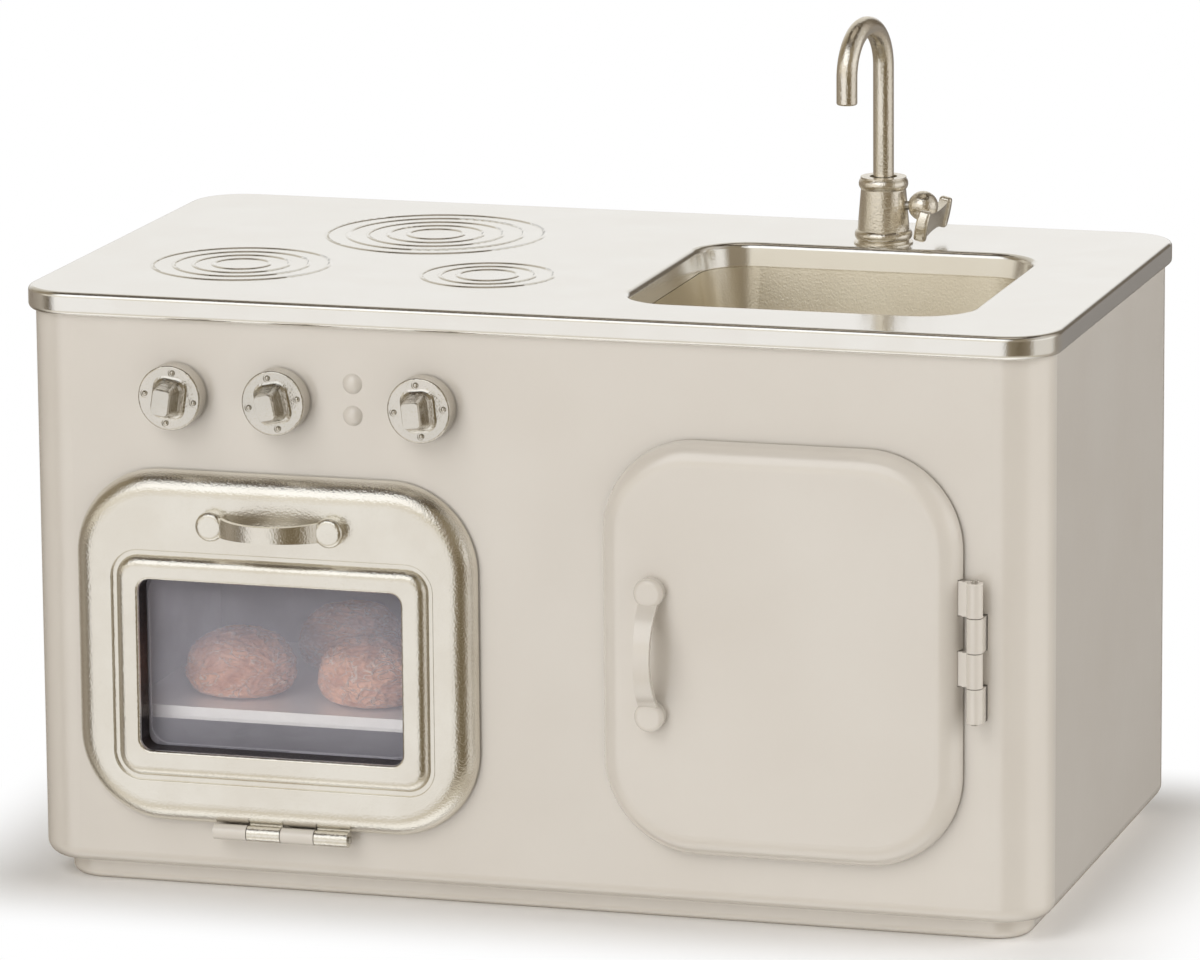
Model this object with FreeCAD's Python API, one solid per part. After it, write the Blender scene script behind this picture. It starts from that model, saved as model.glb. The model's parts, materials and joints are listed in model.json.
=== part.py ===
import FreeCAD, Part
import math
import os

# Miniature tin kitchen cabinet, millimetres, +Z up, front towards -Y.
# Origin: middle of the flat underside of the plinth pan.

# Overall sizes
WORKTOP_WIDTH = 165.0
WORKTOP_DEPTH = 92.0
WORKTOP_HEIGHT = 94.6
SHEET = 0.6
OVERRUN = 1.0

# Worktop pressing
WORKTOP_RIM = 3.7
WORKTOP_CORNER = 8.5
WORKTOP_OVERHANG = 1.0
WORKTOP_TOP_ROUND = 0.8
WORKTOP_LOWER_ROUND = 0.9
WORKTOP_HEM = 5.0

# Cabinet body
BODY_CORNER = 8.0
BODY_BOTTOM = 3.3
BODY_ROLL = 2.5
BODY_TOP_FLANGE = 5.0
PLINTH_INSET = 3.55
PLINTH_CORNER = 6.0
PLINTH_ROUND = 1.4
PLINTH_GAP = 0.2
PLINTH_SEAT = 0.7

# Doors: pressed pans that overlay the front
DOOR_GAP = 0.6
DOOR_DEPTH = 3.1
DOOR_ROLL = 3.8
DOOR_LINER_GAP = 0.4
DOOR_LAP = 6.0

OVEN_DOOR_SIDE_MARGIN = 8.7
OVEN_DOOR_TO_MIDDLE = 7.4
OVEN_DOOR_BOTTOM_MARGIN = 8.1
OVEN_DOOR_TO_KNOBS = 11.7
OVEN_DOOR_CORNER = 14.0
OVEN_OPENING_CORNER = 5.0

CUPBOARD_DOOR_SIDE_MARGIN = 12.3
CUPBOARD_DOOR_TO_MIDDLE = 12.5
CUPBOARD_DOOR_BOTTOM_MARGIN = 8.2
CUPBOARD_DOOR_TOP_MARGIN = 14.4
CUPBOARD_DOOR_CORNER = 15.0
CUPBOARD_OPENING_CORNER = 9.0

# Oven window with its margins on the door, its pressed frame and its pane
WINDOW_LEFT_MARGIN = 11.2
WINDOW_RIGHT_MARGIN = 11.4
WINDOW_BOTTOM_MARGIN = 12.0
WINDOW_TOP_MARGIN = 17.0
WINDOW_CORNER = 1.8
FRAME_WIDTH = 4.07
FRAME_SHIFT = (0.15, -0.26)
FRAME_CORNER = 3.75
FRAME_PROUD = 0.9
FRAME_ROUND = 1.8
WINDOW_ROUND = 0.5
GROOVE_WIDTH = 0.65
GROOVE_DEPTH = 0.5
GROOVE_ROUND = 0.2
PLUG_DEPTH = 1.8
PLUG_CLEARANCE = 1.0
PANE_THICKNESS = 1.0
PANE_LAP = 2.0
BACK_HOLE_CORNER = 3.0

# Oven box, shelf and the rolls on it
OVEN_BOX_DEPTH = 48.0
OVEN_FLANGE = 2.5
SHELF_HEIGHT = 11.5
SHELF_LIP = 1.9
SHELF_SLANT_HEIGHT = 1.4
SHELF_SLANT = 0.45
SHELF_CORNER = 5.0
SHELF_SETBACK = 2.0
SHELF_SIDE_GAP = 0.3
SHELF_LEDGE = 1.6
ROLL_RADIUS = 9.3
ROLL_LEFT_GAP_SHARE = 0.3765
ROLL_RIGHT_GAP_SHARE = 0.4136
ROLL_LEFT_SETBACK = 4.6
ROLL_RIGHT_SETBACK = 3.6
ROLL_BACK_GAP = 4.4
ROLL_BACK_SHIFT = 0.4
ROLL_HEIGHT = 11.0
ROLL_SIDE_RADIUS = 4.3
ROLL_SIDE_HEIGHT = 4.2

# Hinges: four knuckles on a pin, one leaf on each side
KNUCKLE_RADIUS = 1.25
KNUCKLE_GAP = 0.15
HINGE_PIN_RADIUS = 0.5
HINGE_RUNNING_GAP = 0.06
HINGE_CLEARANCE = 0.2
HINGE_PIN_STUB = 0.3
LEAF_SLOT_GAP = 0.15
LEAF_NOTCH_DEPTH = 1.3
LEAF_JOIN_SETBACK = 1.6
LEAF_HEIGHT = 5.0
OVEN_HINGE_SHIFT = 0.75
OVEN_HINGE_LENGTH = 22.1
CUPBOARD_HINGE_SHIFT = 2.3
CUPBOARD_HINGE_STANDOFF = 1.4
CUPBOARD_HINGE_LENGTH = 21.8
KNUCKLE_COUNT = 4

# Bowed handles and their rivets
HANDLE_SPACING = 19.3
HANDLE_DISC_RADIUS = 2.35
HANDLE_DISC_THICKNESS = 1.7
HANDLE_DISC_ROUND = 0.8
HANDLE_STANDOFF = 0.6
HANDLE_STRAP_END_WIDTH = 3.3
HANDLE_STRAP_WAIST = 2.5
HANDLE_STRAP_THICKNESS = 1.0
HANDLE_STRAP_SETBACK = 1.5
HANDLE_STRAP_SINK = 0.35
HANDLE_BOW = 3.8
HANDLE_RING_RADIUS = 2.3
HANDLE_SHANK_RADIUS = 0.9
HANDLE_HEAD_RADIUS = 1.7
HANDLE_HEAD_THICKNESS = 0.6
OVEN_HANDLE_SHIFT = 0.5
OVEN_HANDLE_DROP = 7.8
CUPBOARD_HANDLE_INSET = 8.6
CUPBOARD_HANDLE_SHIFT = -0.4

# Knobs: distance from the left side of the body, and turn in degrees
KNOB_DROP = 11.6
KNOBS = {"left": (25.3, 8.5), "middle": (42.2, -12.0), "right": (65.7, -6.0)}
KNOB_RADIUS = 5.1
KNOB_THICKNESS = 3.1
KNOB_ROUND = 0.35
KNOB_GAP = 0.4
KNOB_STUD_RADIUS = 0.45
KNOB_STUD_HEIGHT = 0.4
KNOB_SEAT_RADIUS = 0.65
KNOB_SEAT_DEPTH = 0.2
KNOB_STUD_CIRCLE = 4.0
KNOB_STUD_COUNT = 4
GRIP_SIZES = ((5.6, 6.8), (5.0, 6.2), (4.35, 5.55), (3.8, 5.0), (3.4, 4.6), (2.95, 4.15), (2.6, 3.8))
GRIP_CORNERS = (1.9, 1.7, 1.45, 1.2, 0.95, 0.75, 0.55)
GRIP_HEIGHTS = (0, 0.15, 0.45, 0.95, 1.8, 3.7, 4.1)
SPINDLE_RADIUS = 1.2
SPINDLE_RUNNING_GAP = 0.07
SPINDLE_SOCKET = 1.5
RETAINER_RADIUS = 2.6
RETAINER_THICKNESS = 0.5
RETAINER_GAP = 0.2
SPINDLE_HEAD_RADIUS = 1.7
SPINDLE_HEAD_THICKNESS = 0.6

# Pressed indicator bumps
BUMP_SIDE_MARGIN = 54.0
BUMP_RISE = 0.5
BUMP_SPACING = 5.0
BUMP_RADIUS = 1.6
BUMP_HEIGHT = 0.8

# Ring burners pressed in the worktop: distance from its left edge,
# distance from its front or back edge, and ring radii
FRONT_BURNERS = ((27.2, 30.1, (14.0, 10.7, 7.6, 4.5)), (67.8, 30.2, (10.4, 7.5, 4.7)))
BACK_BURNERS = ((48.9, 29.2, (17.5, 14.2, 10.9, 7.7, 4.5)),)
RING_SECTION_RADIUS = 0.6
RING_PROUD = 0.16

# Sink cut-out with its margins on the worktop, and basin
SINK_TO_MIDDLE = 10.8
SINK_SIDE_MARGIN = 16.9
SINK_FRONT_MARGIN = 13.8
SINK_BACK_MARGIN = 24.5
SINK_CORNER = 8.5
SINK_LIP = 3.6
SINK_DRAFT = 0.7
SINK_LIP_ROUND = 1.0
BASIN_DEPTH = 20.0
BASIN_FLANGE = 2.5
BASIN_SEAM = 0.1
BASIN_DRAFT = 2.4
SEAM_WIDTH = 0.3
SEAM_DEPTH = 0.2
BASIN_FLOOR_ROUND = 4.0
DRAIN_RADIUS = 3.5
DRAIN_DEPTH = 0.4

# Tap
TAP_SHIFT = -0.1
TAP_TO_SINK = 5.2
TAP_FLANGE_RADIUS = 4.72
TAP_FLANGE_THICKNESS = 0.25
TAP_FLANGE_ROUND = 0.1
TAP_NECK_RADIUS = 4.1
TAP_NECK_HEIGHT = 0.3
TAP_LOWER_BEAD_RADIUS = 4.62
TAP_LOWER_BEAD_HEIGHT = 1.7
TAP_WAIST_LOW_RADIUS = 4.15
TAP_WAIST_HIGH_RADIUS = 3.6
TAP_UPPER_BEAD_RADIUS = 3.95
TAP_UPPER_BEAD_HEIGHT = 1.7
TAP_TOP_RADIUS = 3.65
TAP_BODY_HEIGHT = 10.5
TAP_MOUTH_RADIUS = 2.2
TAP_MOUTH_DEPTH = 0.9
SPOUT_SOCKET = 3.0
SPOUT_RADIUS = 1.65
SPOUT_RUNNING_GAP = 0.06
SPOUT_BEND_RADIUS = 7.2
SPOUT_RISE = 28.5
SPOUT_DROP = 4.15
SPOUT_TURN_ANGLE = 9.0
SPOUT_BORE_RADIUS = 1.15
SPOUT_BORE_DEPTH = 3.0
SPOUT_END_ROUND = 0.35
STUD_RADIUS = 1.5
STUD_HOLE_GAP = 0.1
STUD_SOCKET = 3.2
STUD_BELOW_NUT = 0.9
NUT_ACROSS_FLATS = 5.6
NUT_SIDES = 6
NUT_THICKNESS = 2.2

# Tap key: ball and bow-tie plate that turns on a stem
KEY_BALL_OFFSET = 6.5
KEY_HEIGHT = 6.2
KEY_BALL_RADIUS = 2.4
KEY_PLATE_OFFSET = 8.1
KEY_PLATE_DROP = 2.0
KEY_PLATE_LEAN = 12.0
KEY_PLATE_THICKNESS = 1.3
KEY_END_SPAN = 14.0
KEY_END_HEIGHT = 5.0
KEY_END_LENGTH = 1.9
KEY_END_BULGE = 0.6
KEY_END_THICKNESS = 2.0
KEY_END_ROUND = 0.55
KEY_PLATE_END_HEIGHT = 4.6
KEY_PLATE_WAIST = 3.0
STEM_RADIUS = 0.7
STEM_RUNNING_GAP = 0.05
STEM_SOCKET = 1.3
STEM_REACH = 3.9

# Back panel and its rivets
BACK_EDGE_GAP = 0.5
BACK_CORNER = 5.0
BACK_LAP = 4.5
RIVET_RADIUS = 0.9
RIVET_HEAD_RADIUS = 1.5
RIVET_HEAD_HEIGHT = 0.6
RIVET_ACROSS = 3
RIVET_UP = 2

# Catch magnets behind the front
MAGNET_LENGTH = 8.0
MAGNET_HEIGHT = 3.0
MAGNET_DEPTH = 2.4
MAGNET_GAP = 0.4
MAGNET_ROUND = 0.4

# Places worked out from the sizes above
BODY_WIDTH = WORKTOP_WIDTH - 2 * WORKTOP_OVERHANG
BODY_DEPTH = WORKTOP_DEPTH - 2 * WORKTOP_OVERHANG
BODY_TOP = WORKTOP_HEIGHT - WORKTOP_RIM
KNOB_Z = BODY_TOP - KNOB_DROP
BUMP_X = BUMP_SIDE_MARGIN - BODY_WIDTH / 2
BUMP_Z = KNOB_Z + BUMP_RISE
FRONT = -BODY_DEPTH / 2
FRONT_INSIDE = FRONT + SHEET
BACK_INSIDE = BODY_DEPTH / 2 - SHEET
DOOR_BACK = FRONT - DOOR_GAP
DOOR_FACE = DOOR_BACK - DOOR_DEPTH
LINER_FACE = DOOR_BACK - SHEET
PLUG_BACK = DOOR_BACK + PLUG_DEPTH
PANE_BACK = PLUG_BACK - SHEET
PANE_FRONT = PANE_BACK - PANE_THICKNESS

OVEN_DOOR_LEFT = OVEN_DOOR_SIDE_MARGIN - BODY_WIDTH / 2
OVEN_DOOR_BOTTOM = BODY_BOTTOM + OVEN_DOOR_BOTTOM_MARGIN
OVEN_DOOR_WIDTH = -OVEN_DOOR_TO_MIDDLE - OVEN_DOOR_LEFT
OVEN_DOOR_HEIGHT = KNOB_Z - OVEN_DOOR_TO_KNOBS - OVEN_DOOR_BOTTOM
OVEN_DOOR_X = OVEN_DOOR_LEFT + OVEN_DOOR_WIDTH / 2
OVEN_DOOR_Z = OVEN_DOOR_BOTTOM + OVEN_DOOR_HEIGHT / 2
OVEN_OPENING = (OVEN_DOOR_WIDTH - 2 * DOOR_LAP, OVEN_DOOR_HEIGHT - 2 * DOOR_LAP)
WINDOW_WIDTH = OVEN_DOOR_WIDTH - WINDOW_LEFT_MARGIN - WINDOW_RIGHT_MARGIN
WINDOW_HEIGHT = OVEN_DOOR_HEIGHT - WINDOW_BOTTOM_MARGIN - WINDOW_TOP_MARGIN
WINDOW_X = OVEN_DOOR_LEFT + WINDOW_LEFT_MARGIN + WINDOW_WIDTH / 2
WINDOW_Z = OVEN_DOOR_BOTTOM + WINDOW_BOTTOM_MARGIN + WINDOW_HEIGHT / 2
OVEN_HANDLE_X = OVEN_DOOR_X + OVEN_HANDLE_SHIFT
OVEN_HANDLE_Z = OVEN_DOOR_BOTTOM + OVEN_DOOR_HEIGHT - OVEN_HANDLE_DROP

OVEN_FLOOR = OVEN_DOOR_Z - OVEN_OPENING[1] / 2
OVEN_BACK = FRONT_INSIDE + SHEET + OVEN_BOX_DEPTH
SHELF_TOP = OVEN_FLOOR + SHELF_HEIGHT
ROLL_SPARE_WIDTH = OVEN_OPENING[0] - 2 * 2 * ROLL_RADIUS
ROLL_LEFT_X = OVEN_DOOR_X - OVEN_OPENING[0] / 2 + ROLL_LEFT_GAP_SHARE * ROLL_SPARE_WIDTH + ROLL_RADIUS
ROLL_RIGHT_X = OVEN_DOOR_X + OVEN_OPENING[0] / 2 - ROLL_RIGHT_GAP_SHARE * ROLL_SPARE_WIDTH - ROLL_RADIUS
ROLL_PLACES = {
    "bread_roll_left": (ROLL_LEFT_X, FRONT_INSIDE + ROLL_LEFT_SETBACK + ROLL_RADIUS),
    "bread_roll_right": (ROLL_RIGHT_X, FRONT_INSIDE + ROLL_RIGHT_SETBACK + ROLL_RADIUS),
    "bread_roll_back": ((ROLL_LEFT_X + ROLL_RIGHT_X) / 2 + ROLL_BACK_SHIFT,
                        OVEN_BACK - ROLL_BACK_GAP - ROLL_RADIUS),
}

CUPBOARD_DOOR_BOTTOM = BODY_BOTTOM + CUPBOARD_DOOR_BOTTOM_MARGIN
CUPBOARD_DOOR_WIDTH = BODY_WIDTH / 2 - CUPBOARD_DOOR_SIDE_MARGIN - CUPBOARD_DOOR_TO_MIDDLE
CUPBOARD_DOOR_HEIGHT = BODY_TOP - CUPBOARD_DOOR_TOP_MARGIN - CUPBOARD_DOOR_BOTTOM
CUPBOARD_DOOR_X = CUPBOARD_DOOR_TO_MIDDLE + CUPBOARD_DOOR_WIDTH / 2
CUPBOARD_DOOR_Z = CUPBOARD_DOOR_BOTTOM + CUPBOARD_DOOR_HEIGHT / 2
CUPBOARD_OPENING = (CUPBOARD_DOOR_WIDTH - 2 * DOOR_LAP, CUPBOARD_DOOR_HEIGHT - 2 * DOOR_LAP)
CUPBOARD_HANDLE_X = CUPBOARD_DOOR_TO_MIDDLE + CUPBOARD_HANDLE_INSET
CUPBOARD_HANDLE_Z = CUPBOARD_DOOR_Z + CUPBOARD_HANDLE_SHIFT

HINGE_Y = LINER_FACE - KNUCKLE_RADIUS
ROLL_TO_HINGE = DOOR_ROLL + KNUCKLE_RADIUS + HINGE_CLEARANCE
ROLL_CENTRE_Y = DOOR_FACE + DOOR_ROLL
HINGE_OFFSET = math.sqrt(ROLL_TO_HINGE ** 2 - (ROLL_CENTRE_Y - HINGE_Y) ** 2) - DOOR_ROLL
OVEN_HINGE_Z = OVEN_DOOR_BOTTOM - HINGE_OFFSET
OVEN_HINGE_LEFT = OVEN_DOOR_X + OVEN_HINGE_SHIFT - OVEN_HINGE_LENGTH / 2
CUPBOARD_HINGE_X = CUPBOARD_DOOR_X + CUPBOARD_DOOR_WIDTH / 2 + HINGE_OFFSET + CUPBOARD_HINGE_STANDOFF
CUPBOARD_HINGE_BOTTOM = CUPBOARD_DOOR_Z + CUPBOARD_HINGE_SHIFT - CUPBOARD_HINGE_LENGTH / 2

SINK_WIDTH = WORKTOP_WIDTH / 2 - SINK_SIDE_MARGIN - SINK_TO_MIDDLE
SINK_DEPTH = WORKTOP_DEPTH - SINK_FRONT_MARGIN - SINK_BACK_MARGIN
SINK_X = SINK_TO_MIDDLE + SINK_WIDTH / 2
SINK_Y = SINK_FRONT_MARGIN + SINK_DEPTH / 2 - WORKTOP_DEPTH / 2
LIP_BOTTOM = WORKTOP_HEIGHT - SINK_LIP
TAP_X = SINK_X + TAP_SHIFT
TAP_Y = SINK_Y + SINK_DEPTH / 2 + TAP_TO_SINK
BACK_MARGIN = BODY_CORNER + BACK_EDGE_GAP + BACK_LAP
KEY_Z = WORKTOP_HEIGHT + KEY_HEIGHT
TAP_BODY_BASE = WORKTOP_HEIGHT + TAP_FLANGE_THICKNESS
TAP_TOP = TAP_BODY_BASE + TAP_BODY_HEIGHT

V = FreeCAD.Vector
ORIGIN = V(0, 0, 0)
X_AXIS, Y_AXIS, Z_AXIS = V(1, 0, 0), V(0, 1, 0), V(0, 0, 1)
NEAR = 1e-4


# Basic shapes

def flat_on(level):
    """Places outline points on the level plane z = level."""
    return lambda a, b: V(a, b, level)


def upright_on(depth):
    """Places outline points on the upright plane y = depth."""
    return lambda a, b: V(a, depth, b)


def rounded_wire(centre, size, radius, place):
    """A rounded rectangle of four lines and four arcs."""
    (mid_a, mid_b), (wide, high) = centre, size
    a0, a1 = mid_a - wide / 2, mid_a + wide / 2
    b0, b1 = mid_b - high / 2, mid_b + high / 2
    r = radius
    k = r * (1 - math.sqrt(0.5))
    edges = [
        Part.makeLine(place(a0 + r, b0), place(a1 - r, b0)),
        Part.Arc(place(a1 - r, b0), place(a1 - k, b0 + k), place(a1, b0 + r)).toShape(),
        Part.makeLine(place(a1, b0 + r), place(a1, b1 - r)),
        Part.Arc(place(a1, b1 - r), place(a1 - k, b1 - k), place(a1 - r, b1)).toShape(),
        Part.makeLine(place(a1 - r, b1), place(a0 + r, b1)),
        Part.Arc(place(a0 + r, b1), place(a0 + k, b1 - k), place(a0, b1 - r)).toShape(),
        Part.makeLine(place(a0, b1 - r), place(a0, b0 + r)),
        Part.Arc(place(a0, b0 + r), place(a0 + k, b0 + k), place(a0 + r, b0)).toShape(),
    ]
    return Part.Wire(edges)


def slab(centre, size, radius, low, high):
    """A rounded rectangle seen from above, from z = low to z = high."""
    face = Part.Face(rounded_wire(centre, size, radius, flat_on(low)))
    return face.extrude(V(0, 0, high - low))


def plate(centre, size, radius, front, back):
    """A rounded rectangle seen from the front, from y = front to y = back."""
    face = Part.Face(rounded_wire(centre, size, radius, upright_on(front)))
    return face.extrude(V(0, back - front, 0))


def block(x0, x1, y0, y1, z0, z1):
    return Part.makeBox(x1 - x0, y1 - y0, z1 - z0, V(x0, y0, z0))


def rod(radius, start, end):
    """A cylinder between two points."""
    line = end - start
    return Part.makeCylinder(radius, line.Length, start, line)


def inset(size, amount):
    return (size[0] - 2 * amount, size[1] - 2 * amount)


def edges_at(shape, axis, value):
    """Edges whose both ends lie at one value of x, y or z."""
    picked = []
    for edge in shape.Edges:
        ends = [getattr(vertex.Point, axis) for vertex in edge.Vertexes]
        if ends and all(abs(end - value) < NEAR for end in ends):
            picked.append(edge)
    return picked


def cap(radius, height, base, direction, root):
    """A low dome on a flat face, with a short root below the face."""
    ball_radius = (radius ** 2 + height ** 2) / (2 * height)
    ball = Part.makeSphere(ball_radius, base + direction * (height - ball_radius))
    core = Part.makeCylinder(radius, height + OVERRUN, base, direction)
    foot = Part.makeCylinder(radius, root, base - direction * root, direction)
    return ball.common(core).fuse(foot).removeSplitter()


# Places shared by the cabinet, the doors and the hinges

def knuckle_spans(start, length):
    """Start and end of each knuckle along the hinge, with a gap between two."""
    pitch = length / KNUCKLE_COUNT
    half = KNUCKLE_GAP / 2
    return [(start + i * pitch + half, start + (i + 1) * pitch - half) for i in range(KNUCKLE_COUNT)]


def oven_spans(first):
    return knuckle_spans(OVEN_HINGE_LEFT, OVEN_HINGE_LENGTH)[first::2]


def cupboard_spans(first):
    return knuckle_spans(CUPBOARD_HINGE_BOTTOM, CUPBOARD_HINGE_LENGTH)[first::2]


def rivet_places():
    """Rivets of the back panel, in the strip where it laps the body."""
    half_x = BODY_WIDTH / 2 - BACK_MARGIN + BACK_LAP / 2
    low = BODY_BOTTOM + BACK_MARGIN - BACK_LAP / 2
    high = BODY_TOP - BACK_MARGIN + BACK_LAP / 2
    places = []
    for i in range(RIVET_ACROSS):
        x = -half_x + 2 * half_x * i / (RIVET_ACROSS - 1)
        for j in range(RIVET_UP):
            places.append((x, low + (high - low) * j / (RIVET_UP - 1)))
    return places


# Cabinet

def back_opening(front, back, lap):
    """The hole in the back of the body, or the panel that laps it."""
    size = (BODY_WIDTH - 2 * BACK_MARGIN + 2 * lap, BODY_TOP - BODY_BOTTOM - 2 * BACK_MARGIN + 2 * lap)
    return plate((0, (BODY_TOP + BODY_BOTTOM) / 2), size, BACK_CORNER, front, back)


def make_cabinet_shell():
    size = (BODY_WIDTH, BODY_DEPTH)
    outer = slab((0, 0), size, BODY_CORNER, BODY_BOTTOM, BODY_TOP)
    outer = outer.makeFillet(BODY_ROLL, edges_at(outer, "z", BODY_BOTTOM))
    inner = slab((0, 0), inset(size, SHEET), BODY_CORNER - SHEET,
                 BODY_BOTTOM + SHEET, BODY_TOP - SHEET)
    inner = inner.makeFillet(BODY_ROLL - SHEET, edges_at(inner, "z", BODY_BOTTOM + SHEET))
    shell = outer.cut(inner)
    top_corner = BODY_CORNER - BODY_TOP_FLANGE
    cuts = [
        slab((0, 0), inset(size, BODY_TOP_FLANGE), top_corner,
             BODY_TOP - SHEET - OVERRUN, BODY_TOP + OVERRUN),
        slab((0, 0), inset(size, PLINTH_INSET - PLINTH_GAP), PLINTH_CORNER, BODY_BOTTOM - OVERRUN,
             BODY_BOTTOM + SHEET + OVERRUN),
        plate((OVEN_DOOR_X, OVEN_DOOR_Z), OVEN_OPENING, OVEN_OPENING_CORNER,
              FRONT - OVERRUN, FRONT_INSIDE + OVERRUN),
        plate((CUPBOARD_DOOR_X, CUPBOARD_DOOR_Z), CUPBOARD_OPENING, CUPBOARD_OPENING_CORNER,
              FRONT - OVERRUN, FRONT_INSIDE + OVERRUN),
        back_opening(BACK_INSIDE - OVERRUN, BODY_DEPTH / 2 + OVERRUN, 0),
    ]
    for side_distance, _turn in KNOBS.values():
        x = side_distance - BODY_WIDTH / 2
        cuts.append(rod(SPINDLE_RADIUS + SPINDLE_RUNNING_GAP, V(x, FRONT - OVERRUN, KNOB_Z),
                        V(x, FRONT_INSIDE + OVERRUN, KNOB_Z)))
    for x, z in rivet_places():
        cuts.append(rod(RIVET_RADIUS, V(x, BACK_INSIDE - OVERRUN, z),
                        V(x, BODY_DEPTH / 2 + OVERRUN, z)))
    slot_low = OVEN_HINGE_Z - KNUCKLE_RADIUS - LEAF_SLOT_GAP
    for start, end in oven_spans(0):
        cuts.append(block(start - LEAF_SLOT_GAP, end + LEAF_SLOT_GAP, FRONT - OVERRUN,
                          FRONT_INSIDE + OVERRUN, slot_low, slot_low + SHEET + 2 * LEAF_SLOT_GAP))
    slot_right = CUPBOARD_HINGE_X + KNUCKLE_RADIUS + LEAF_SLOT_GAP
    for start, end in cupboard_spans(0):
        cuts.append(block(slot_right - SHEET - 2 * LEAF_SLOT_GAP, slot_right, FRONT - OVERRUN,
                          FRONT_INSIDE + OVERRUN, start - LEAF_SLOT_GAP, end + LEAF_SLOT_GAP))
    shell = shell.cut(cuts)
    bumps = []
    for side in (-1, 1):
        spot = V(BUMP_X, FRONT, BUMP_Z + side * BUMP_SPACING / 2)
        bumps.append(cap(BUMP_RADIUS, BUMP_HEIGHT, spot, -Y_AXIS, SHEET / 2))
    return shell.fuse(bumps).removeSplitter()


def make_base_pan():
    size = inset((BODY_WIDTH, BODY_DEPTH), PLINTH_INSET)
    top = BODY_BOTTOM + 2 * SHEET
    outer = slab((0, 0), size, PLINTH_CORNER, 0, top)
    outer = outer.makeFillet(PLINTH_ROUND, edges_at(outer, "z", 0))
    rim_size = inset((BODY_WIDTH, BODY_DEPTH), PLINTH_INSET - PLINTH_GAP - PLINTH_SEAT)
    rim = slab((0, 0), rim_size, PLINTH_CORNER, BODY_BOTTOM + SHEET, top)
    inner = slab((0, 0), inset(size, SHEET), PLINTH_CORNER - SHEET, SHEET, top + OVERRUN)
    inner = inner.makeFillet(PLINTH_ROUND - SHEET, edges_at(inner, "z", SHEET))
    return outer.fuse(rim).cut(inner).removeSplitter()


def make_back_panel():
    panel = back_opening(BACK_INSIDE - SHEET, BACK_INSIDE, BACK_LAP)
    holes = [rod(RIVET_RADIUS, V(x, BACK_INSIDE - SHEET - OVERRUN, z), V(x, BACK_INSIDE + OVERRUN, z))
             for x, z in rivet_places()]
    return panel.cut(holes)


def make_back_rivets():
    rivets = []
    back = BODY_DEPTH / 2
    for x, z in rivet_places():
        head = cap(RIVET_HEAD_RADIUS, RIVET_HEAD_HEIGHT, V(x, back + SHEET / 2, z), Y_AXIS, SHEET / 2)
        shank = rod(RIVET_RADIUS, V(x, BACK_INSIDE - 2 * SHEET, z), V(x, back + SHEET / 2, z))
        tail = rod(RIVET_HEAD_RADIUS, V(x, BACK_INSIDE - 2 * SHEET, z), V(x, BACK_INSIDE - SHEET, z))
        rivets.append(head.fuse([shank, tail]).removeSplitter())
    return Part.makeCompound(rivets)


# Worktop and sink

def sink_block(grow, low, high, lean_at):
    """A block in the shape of the sink, which leans inwards by an amount for each level."""
    wires = []
    for level in (low, high):
        lean = lean_at(level)
        size = inset((SINK_WIDTH, SINK_DEPTH), lean - grow)
        wires.append(rounded_wire((SINK_X, SINK_Y), size, SINK_CORNER - lean + grow, flat_on(level)))
    return Part.makeLoft(wires, True, True)


def lip_lean(level):
    return SINK_DRAFT * (WORKTOP_HEIGHT - level) / SINK_LIP


def basin_lean(level):
    return SINK_DRAFT + BASIN_DRAFT * (LIP_BOTTOM - level) / (BASIN_DEPTH - SINK_LIP)


def seam_lean(level):
    return SINK_DRAFT


def make_worktop():
    size = (WORKTOP_WIDTH, WORKTOP_DEPTH)
    outer = slab((0, 0), size, WORKTOP_CORNER, BODY_TOP, WORKTOP_HEIGHT)
    outer = outer.makeFillet(WORKTOP_TOP_ROUND, edges_at(outer, "z", WORKTOP_HEIGHT))
    outer = outer.makeFillet(WORKTOP_LOWER_ROUND, edges_at(outer, "z", BODY_TOP))
    inner = slab((0, 0), inset(size, SHEET), WORKTOP_CORNER - SHEET,
                 BODY_TOP + SHEET, WORKTOP_HEIGHT - SHEET)
    well = slab((0, 0), inset(size, WORKTOP_HEM), WORKTOP_CORNER - WORKTOP_HEM, BODY_TOP - OVERRUN,
                BODY_TOP + SHEET + OVERRUN)
    top = outer.cut([inner, well])
    lip = sink_block(SHEET, LIP_BOTTOM, WORKTOP_HEIGHT - SHEET / 2, lip_lean)
    mouth = sink_block(0, LIP_BOTTOM - OVERRUN, WORKTOP_HEIGHT + OVERRUN, lip_lean)
    top = top.fuse(lip).cut(mouth)
    edge_size = (SINK_WIDTH / 2 + NEAR, SINK_DEPTH / 2 + NEAR)
    rim = [edge for edge in edges_at(top, "z", WORKTOP_HEIGHT)
           if all(abs(v.X - SINK_X) < edge_size[0] and abs(v.Y - SINK_Y) < edge_size[1]
                  for v in edge.Vertexes)]
    top = top.makeFillet(SINK_LIP_ROUND, rim)
    level = WORKTOP_HEIGHT + RING_PROUD - RING_SECTION_RADIUS
    above = slab((0, 0), size, WORKTOP_CORNER, WORKTOP_HEIGHT - SHEET / 2, WORKTOP_HEIGHT + OVERRUN)
    rings = []
    for side, burners in ((-1, FRONT_BURNERS), (1, BACK_BURNERS)):
        for left, inward, radii in burners:
            centre = V(left - WORKTOP_WIDTH / 2, side * (WORKTOP_DEPTH / 2 - inward), level)
            rings += [Part.makeTorus(radius, RING_SECTION_RADIUS, centre).common(above) for radius in radii]
    hole = rod(STUD_RADIUS + STUD_HOLE_GAP, V(TAP_X, TAP_Y, WORKTOP_HEIGHT - SHEET - OVERRUN),
               V(TAP_X, TAP_Y, WORKTOP_HEIGHT + OVERRUN))
    return top.fuse(rings).cut(hole).removeSplitter()


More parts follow.
